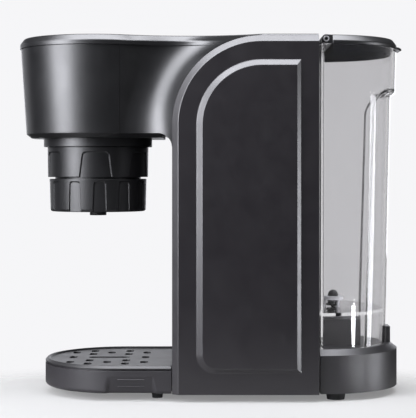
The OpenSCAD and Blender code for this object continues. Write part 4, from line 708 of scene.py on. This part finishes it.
def tray():
    """Wall profile carried round the U, its sides pushed in by the finger hollows, with a floor,
    a rear wall and round-ended ribs in the hollows."""
    inside, step = TRAY_R - TRAY_T, TRAY_TOP - RIM_DROP
    foot = arc((TRAY_R - TRAY_ROUND, TRAY_LOW + TRAY_ROUND), TRAY_ROUND, -90, 0, 12)
    rise = upright(TRAY_R, np.linspace(TRAY_LOW + TRAY_ROUND + RISE_START, step - RIM_RUN, 33))
    rim = soft_path([(TRAY_R, step - RIM_RUN), (TRAY_R, step), (TRAY_R - RIM_IN, step),
                     (TRAY_R - RIM_IN, TRAY_TOP), (inside, TRAY_TOP), (inside, TRAY_TOP - RIM_RUN)],
                    (0, 0.25, 0.05, 0.1, 0.3, 0), 4)[1:-1]
    inner = upright(inside, np.linspace(TRAY_TOP - RIM_RUN, TRAY_LOW + INNER_END, 40))
    r, z = np.vstack([foot, rise, rim, inner]).T[:, :, None]
    x, y = u_path(r, TRAY_BACK)
    wall = skin(grid_of(pressed(x, y, z), y, z).transpose(1, 0, 2), low=True, high=True)
    z = np.array([[TRAY_FLOOR], [TRAY_FLOOR + TRAY_FLOOR_T]])
    x, y = u_path(np.full((2, 1), TRAY_FLOOR_R), TRAY_BACK - TRAY_FLOOR_GAP)
    floor = skin(grid_of(pressed(x, y, z), y, z), low=True, high=True)
    rear = drawn(soft_box((TRAY_BACK - TRAY_T, TRAY_FLOOR), (TRAY_BACK, TRAY_TOP), 0.3),
                 -TRAY_FLOOR_R, TRAY_FLOOR_R)
    h = np.radians(np.arange(0, 360, 20))
    t = np.linspace(-np.pi / 2, np.pi / 2, 15)[:, None]
    along = HOLLOW_Y + np.sign(t) * RIB_HALF + RIB_R * np.sin(t)
    rib_x, rib_z = RIB_R * np.cos(t) * np.cos(h), RIB_R * np.cos(t) * np.sin(h)
    ribs = [skin(grid_of(side * (TRAY_R - hollow_depth(z)) + rib_x, along, z + rib_z))
            for side in (-1, 1) for z in RIB_HEIGHTS]
    return [wall, floor, rear] + ribs


piece("tray_shell", "tray", tray_grey, tray(), ["drip_tray"], sharp=40)


# Water tank with lid and valve spring

TANK_FOOT_R, TANK_TOP_R, TANK_T, TANK_LIP, TANK_CORNER = 60.0, 65.5, 2.5, 1.0, 0.7
TANK_FLOOR, TANK_FLOOR_TOP, FLOOR_CLEAR = 67.4, 70.0, 0.5
OUTLET_BORE, OUTLET_R, OUTLET_LOW, OUTLET_TOP = 4.6, 7.2, 53.0, 67.2
RECESS_HALF, RECESS_TOP, RECESS_CORNER, RECESS_D, RECESS_SOFT = 43.0, 248.0, 16.0, 3.9, 2.0
RECESS_ROWS, RECESS_COLUMNS = (228.0, 255.0), (56.0, 48.0, 39.0, 24.0, 0.0)
RECESS_BEHIND = 10.0
EAR_IN, EAR_OUT, EAR_R, EAR_DROP = 50.0, 55.5, 3.3, 4.0
BARREL_R, BARREL_END, BARREL_GAP = 3.6, 61.4, 0.3
BARREL_FRONT, BARREL_BACK, BARREL_LOW, BARREL_TOP = 95.0, 98.6, 286.5, 293.6
LID_R, LID_FRONT, LID_BAND, LID_BEVEL, LID_DRAFT = 66.0, 97.7, 2.6, 3.5, 0.2
LID_CORNER, LID_UNDER_IN, LID_DECK_IN = 1.0, 6.0, 9.0
PLUG_R, PLUG_FRONT, PLUG_LOW, PLUG_TOP, PLUG_IN = 61.0, 97.9, 280.6, 286.5, 4.0
LIP_HALF = 10.0
LIP_LINE = [(152.9, 286.4), (157.2, 286.2), (159.3, 284.7), (160.2, 285.1), (160.0, 286.6), (157.5, 287.9),
            (152.9, 288.0)]
LID_ACROSS = np.linspace(50.0, -50.0, 61)
VALVE_Y, SPRING_LOW, SPRING_HIGH, SPRING_R, WIRE_R = 103.65, 72.7, 75.9, 5.3, 0.3
SPRING_TURNS = 2


def d_ring(r, flat, across, corner):
    """D outline: the circle about the tank's axis from the corner of its flat front round the back,
    eased corners and the flat; across gives the x places along the back, r and flat a value a row."""
    off = flat - REAR_Y
    start, back = np.arcsin((off + corner) / r), np.arccos(across[0] / r)
    near = start + (back - start) * np.linspace(0, 1, 24, endpoint=False)
    g = np.concatenate([near, np.arccos(across / r), np.pi - near[:, ::-1]], 1)
    x, y = r * np.cos(g), REAR_Y + r * np.sin(g)
    u = np.linspace(0, 1, 9)[1:-1]
    end = np.sqrt(r * r - off * off)
    bend_x = (1 - u) ** 2 * x[:, :1] + 2 * u * (1 - u) * end + u ** 2 * (end - corner)
    bend_y = flat + (1 - u) ** 2 * corner
    front = np.linspace(-1, 1, 15) * (end - corner)
    return (np.concatenate([x, -bend_x, front, bend_x[:, ::-1]], 1),
            np.concatenate([y, bend_y, flat + 0 * front, bend_y[:, ::-1]], 1))


def recess(x, z, grow):
    """Depth of the hand recess at the back: inside a round-cornered outline, with eased sides."""
    d = past_corner(np.abs(x) - (RECESS_HALF + grow), z - (RECESS_TOP + grow), RECESS_CORNER)
    return RECESS_D * ease((RECESS_SOFT - d) / (2 * RECESS_SOFT))


def tank():
    """Rings of a D outline: under the floor, down the skirt's inside, round the foot, up the outside
    with the hand recess, over the rim and down the inside to the floor; rows and columns are closer
    at the recess's edges."""
    start, end = TANK_LOW + TANK_LIP, TANK_TOP - TANK_LIP
    climb = stretches((start, *RECESS_ROWS, end), (59, 71, 11))
    foot = soft_path([(TANK_T, start), (TANK_T, TANK_LOW), (0, TANK_LOW), (0, start)], (0, 0.7, 0.7, 0))
    rim = soft_path([(0, end), (0, TANK_TOP), (TANK_T, TANK_TOP), (TANK_T, end)], (0, 0.7, 0.7, 0))
    inset, z = np.vstack([upright(TANK_T, np.linspace(TANK_FLOOR, start, 12)), foot[1:-1],
                          upright(0, climb), rim[1:-1],
                          upright(TANK_T, climb[climb > TANK_FLOOR_TOP + FLOOR_CLEAR][::-1]),
                          [(TANK_T, TANK_FLOOR_TOP)]]).T[:, :, None]
    side = stretches(RECESS_COLUMNS, (8, 37, 30, 12))
    r = TANK_FOOT_R + (TANK_TOP_R - TANK_FOOT_R) * (z - TANK_LOW) / TANK_H - inset
    x, y = d_ring(r, TANK_FLAT + inset, np.r_[side, -side[-2::-1]], TANK_CORNER)
    push = recess(x, z, inset) * (y > REAR_Y + RECESS_BEHIND) / np.hypot(x, y - REAR_Y)
    body = skin(grid_of(x * (1 - push), y - (y - REAR_Y) * push, z), low=True, high=True)
    ear = np.vstack([[(HINGE_Y - EAR_R, TANK_TOP - EAR_DROP), (HINGE_Y, TANK_TOP - EAR_DROP)],
                     arc((HINGE_Y, HINGE_Z), EAR_R, -90, 180, 19)])
    outlet = turned(soft_box((OUTLET_BORE, OUTLET_LOW), (OUTLET_R, OUTLET_TOP), 0.3), VALVE_Y, steps=48)
    return [body, drawn(ear, EAR_IN, EAR_OUT), drawn(ear, -EAR_OUT, -EAR_IN), outlet]


def lid():
    """Bevelled D plate, hinge barrel with gaps for the tank's ears and a lip to lift it by."""
    inset, z = soft_path([(LID_UNDER_IN, LID_LOW), (LID_DRAFT, LID_LOW), (0, LID_LOW + LID_BAND),
                          (LID_BEVEL, LID_TOP), (LID_DECK_IN, LID_TOP)],
                         (0, 0.4, 0.8, 1.0, 0), 5).T[:, :, None]
    x, y = d_ring(LID_R - inset, LID_FRONT + 0 * inset, LID_ACROSS, LID_CORNER)
    plate = skin(grid_of(x, y, z), low=True, high=True)
    barrel = np.vstack([[(BARREL_BACK, BARREL_TOP), (BARREL_BACK, BARREL_LOW), (BARREL_FRONT, BARREL_LOW)],
                        arc((HINGE_Y, HINGE_Z), BARREL_R, -70, -270, 31)])
    inner, outer = EAR_IN - BARREL_GAP, EAR_OUT + BARREL_GAP
    knuckles = [drawn(barrel, x0, x1, soft=0.7)
                for x0, x1 in ((-BARREL_END, -outer), (-inner, inner), (outer, BARREL_END))]
    return [plate, drawn(soft_path(LIP_LINE, 0.5, 3, True), -LIP_HALF, LIP_HALF)] + knuckles


def plug():
    """Soft-edged D plate under the lid that fills the tank's mouth."""
    inset, z = soft_path([(0, PLUG_TOP), (0, PLUG_LOW), (PLUG_IN, PLUG_LOW)], (0, 1.0, 0), 5).T[:, :, None]
    x, y = d_ring(PLUG_R - inset, PLUG_FRONT + inset, LID_ACROSS, LID_CORNER)
    return skin(grid_of(x, y, z), low=True, high=True)


def spring():
    """Wire carried up a helix between the plunger's flange and the cage."""
    t = np.linspace(0, 1, 97)[:, None]
    h = np.radians(np.arange(0, 360, 30))
    a = 2 * np.pi * SPRING_TURNS * t
    r = SPRING_R + WIRE_R * np.cos(h)
    z = SPRING_LOW + WIRE_R + (SPRING_HIGH - SPRING_LOW - 2 * WIRE_R) * t + WIRE_R * np.sin(h)
    return skin(grid_of(r * np.cos(a), VALVE_Y + r * np.sin(a), z), low=True, high=True)


clear_wall = piece("tank_wall", "tank", clear_smoke, tank(), ["water_tank"], sharp=40)
clear_wall.visible_shadow = False
piece("lid_skin", "lid", lid_black, lid(), ["tank_lid"], sharp=35)
piece("lid_plug", "lid", plug_black, [plug()])
coil = piece("valve_coil", "plunger", bright_steel, [spring()], ["valve_spring"], sharp=40)
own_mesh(coil)


# CAD nodes that stay: merged and smooth but for sharp edges, with a small rounding where it shows

SMOOTH_LIMIT, ROUND_LIMIT = math.radians(28), math.radians(30)
ROUND_STEPS = 3


def smooth_by_angle(limit):
    """Geometry nodes that merge loose triangles, shade them smooth and keep edges over limit sharp."""
    group = bpy.data.node_groups.new("smooth_faces", "GeometryNodeTree")
    group.interface.new_socket("Geometry", in_out="INPUT", socket_type="NodeSocketGeometry")
    group.interface.new_socket("Geometry", in_out="OUTPUT", socket_type="NodeSocketGeometry")
    start = add_node(group, "NodeGroupInput", {})
    weld = add_node(group, "GeometryNodeMergeByDistance",
                    {"Geometry": start.outputs[0], "Distance": 2 * WELD})
    smooth = add_node(group, "GeometryNodeSetShadeSmooth", {"Geometry": weld.outputs["Geometry"]})
    angle = add_node(group, "GeometryNodeInputMeshEdgeAngle", {})
    over = add_node(group, "FunctionNodeCompare", {0: angle.outputs["Unsigned Angle"], 1: limit},
                    operation="GREATER_THAN")
    sharp = add_node(group, "GeometryNodeSetShadeSmooth",
                     {"Geometry": smooth.outputs["Geometry"], "Selection": over.outputs[0],
                      "Shade Smooth": False}, domain="EDGE")
    add_node(group, "NodeGroupOutput", {0: sharp.outputs["Geometry"]})
    return group


smooth_faces = smooth_by_angle(SMOOTH_LIMIT)
own_finish = {"drip_grid": grid_grey, "rear_base": base_black, "brew_collar": holder_black,
              "valve_cage": cage_white, "hinge_pins": pin_zinc}
rounded = {"drip_grid": 0.2, "rear_base": 0.5, "head_plate": 1.1, "brew_collar": 0.9,
           "column_front": 0.4, "control_panel": 0.25, "power_button": 0.5, "small_cup_button": 0.6,
           "large_cup_button": 0.6, "capsule_cup": 0.4, "coffee_spout": 0.3, "hinge_pins": 0.5}
for node, obj in frame["nodes"].items():
    obj.data.materials.clear()
    obj.data.materials.append(own_finish.get(node, finish_of[slot_of[node]]))
    obj.modifiers.new("smooth_faces", "NODES").node_group = smooth_faces
    if node in rounded:
        edge = obj.modifiers.new("rounded_edges", "BEVEL")
        edge.width = rounded[node] * MM
        edge.segments = ROUND_STEPS
        edge.limit_method = "ANGLE"
        edge.angle_limit = ROUND_LIMIT
        edge.harden_normals = True


# Stage: camera, lights, background and floor, in metres

CAMERA_PLACE, CAMERA_LENS, CAMERA_SHIFT, CAMERA_REACH = (1.198, -0.00195, 0.1834), 122.1, -0.0885, 20
LAMP_COLOUR, STRAIGHT_DOWN = (0.93, 0.94, 1.0), -0.999
BACKDROP_COLOUR = (0.93, 0.93, 0.946, 1)
BACKDROP, DIFFUSE_FILL, GLOSSY_FILL, LEAST_FILL = 0.96, 0.30, 0.03, 0.03
FLOOR_R, FLOOR_COLOUR, FLOOR_SHOWN = 2.0, (0.90, 0.90, 0.88, 1), 0.75
FADE_SCALE, FADE_SHIFT, FADE_START, FADE_END = (1.3, 1, 1), (-0.09, 0, 0), 0.16, 0.32

camera = bpy.data.objects.new("camera", bpy.data.cameras.new("camera"))
bpy.context.scene.collection.objects.link(camera)
camera.location = CAMERA_PLACE
camera.rotation_euler = (math.pi / 2, 0, math.pi / 2)
camera.data.lens = CAMERA_LENS
camera.data.shift_y = CAMERA_SHIFT
camera.data.clip_end = CAMERA_REACH
bpy.context.scene.camera = camera


def lamp(name, bearing, height, distance, width, tall, radiance, aim, card=False, beam=180):
    """Soft box on a bearing from the photograph's side, turned to the aim point; its power is
    pi times area times radiance. A card shows in reflections only, and a beam under 180 degrees
    reaches only what lies near its aim."""
    data = bpy.data.lights.new(name, "AREA")
    data.shape = "RECTANGLE"
    data.size, data.size_y = width, tall
    data.color = LAMP_COLOUR
    data.energy = math.pi * width * tall * radiance
    data.spread = math.radians(beam)
    obj = bpy.data.objects.new(name, data)
    bpy.context.scene.collection.objects.link(obj)
    b = math.radians(bearing)
    spot = np.array([distance * math.cos(b), distance * math.sin(b), height])
    line = np.array(aim) - spot
    line = line / np.linalg.norm(line)
    obj.location = spot
    heading = math.atan2(-line[0], line[1]) if line[2] > STRAIGHT_DOWN else 0.0
    obj.rotation_euler = (math.acos(-line[2]), 0, heading)
    obj.visible_camera = False
    obj.visible_transmission = False
    obj.visible_diffuse = not card


# Bearing in degrees, height, distance, the face's width and height, radiance, and the point aimed at
lamp("left_softbox", -53, 0.40, 1.25, 0.60, 0.72, 11.0, (0, -0.05, 0.18))
lamp("left_card", -52, 0.42, 1.30, 1.15, 0.75, 2.4, (0, -0.05, 0.18), card=True)
lamp("high_left_card", -52, 1.00, 0.95, 0.90, 0.60, 6.5, (0, -0.05, 0.25), card=True)
lamp("right_card", 84, 0.06, 1.25, 0.24, 0.42, 15.5, (0, 0.03, 0.12), card=True)
lamp("low_card", 56, -0.14, 1.20, 0.66, 0.14, 0.24, (0.04, 0.12, -0.008), card=True, beam=7)
lamp("top_softbox", 0, 1.25, 0.30, 1.20, 0.60, 3.6, (0, 0, 0.1))
lamp("top_card", 20, 1.25, 0.44, 0.86, 2.00, 7.6, (0.413, 0.15, 0), card=True)
lamp("back_card", 180, 0.25, 1.30, 1.40, 0.45, 2.2, (0, 0, 0.1), card=True)
lamp("back_left_card", -140, 0.35, 1.30, 0.80, 0.60, 0.6, (0, 0, 0.2), card=True)


def scaled_sum(tree, value, factor, add):
    """A value times a factor, plus another value."""
    total = add_node(tree, "ShaderNodeMath", {0: value, 1: factor, 2: add}, operation="MULTIPLY_ADD")
    return total.outputs[0]


def studio():
    """World that shows a pale backdrop to the camera and through clear plastic, fills diffuse surfaces
    with some light and reflections with little."""
    world = bpy.data.worlds.new("studio")
    world.use_nodes = True
    tree = world.node_tree
    ray = tree.nodes.new("ShaderNodeLightPath").outputs
    seen = add_node(tree, "ShaderNodeMath", {0: ray["Is Camera Ray"], 1: ray["Is Transmission Ray"]},
                    operation="MAXIMUM").outputs[0]
    fill = scaled_sum(tree, ray["Is Diffuse Ray"], DIFFUSE_FILL, LEAST_FILL)
    fill = scaled_sum(tree, ray["Is Glossy Ray"], GLOSSY_FILL, fill)
    set_inputs(tree, tree.nodes["Background"], {"Color": BACKDROP_COLOUR,
                                                "Strength": scaled_sum(tree, seen, BACKDROP, fill)})
    return world


def floor_fade(tree, place):
    """Share of the floor that shows, full under the object and fading out over an oval round it."""
    oval = add_node(tree, "ShaderNodeVectorMath", {0: place, 1: FADE_SCALE, 2: FADE_SHIFT},
                    operation="MULTIPLY_ADD")
    reach = add_node(tree, "ShaderNodeVectorMath", {0: oval.outputs[0]}, operation="LENGTH")
    fade = add_node(tree, "ShaderNodeMapRange", {"Value": reach.outputs["Value"], "From Min": FADE_START,
                                                 "From Max": FADE_END, "To Min": FLOOR_SHOWN, "To Max": 0.0},
                    interpolation_type="SMOOTHSTEP")
    return fade.outputs["Result"]


def pale_floor():
    """Matte disc under the object that keeps its shadow."""
    finish, tree, shader, place = node_tree("floor_white")
    set_inputs(tree, shader, {"Base Color": FLOOR_COLOUR, "Roughness": 0.9, "Specular IOR Level": 0.0,
                              "Alpha": floor_fade(tree, place)})
    disc = arc((0, 0), FLOOR_R, 0, 355, 72)
    mesh = bpy.data.meshes.new("floor")
    mesh.from_pydata(grid_of(disc[:, 0], disc[:, 1], 0.0).tolist(), [], [list(range(len(disc)))])
    mesh.materials.append(finish)
    obj = bpy.data.objects.new("floor", mesh)
    bpy.context.scene.collection.objects.link(obj)
    return obj


bpy.context.scene.world = studio()
floor = pale_floor()

bpy.context.scene.view_settings.view_transform = "Standard"
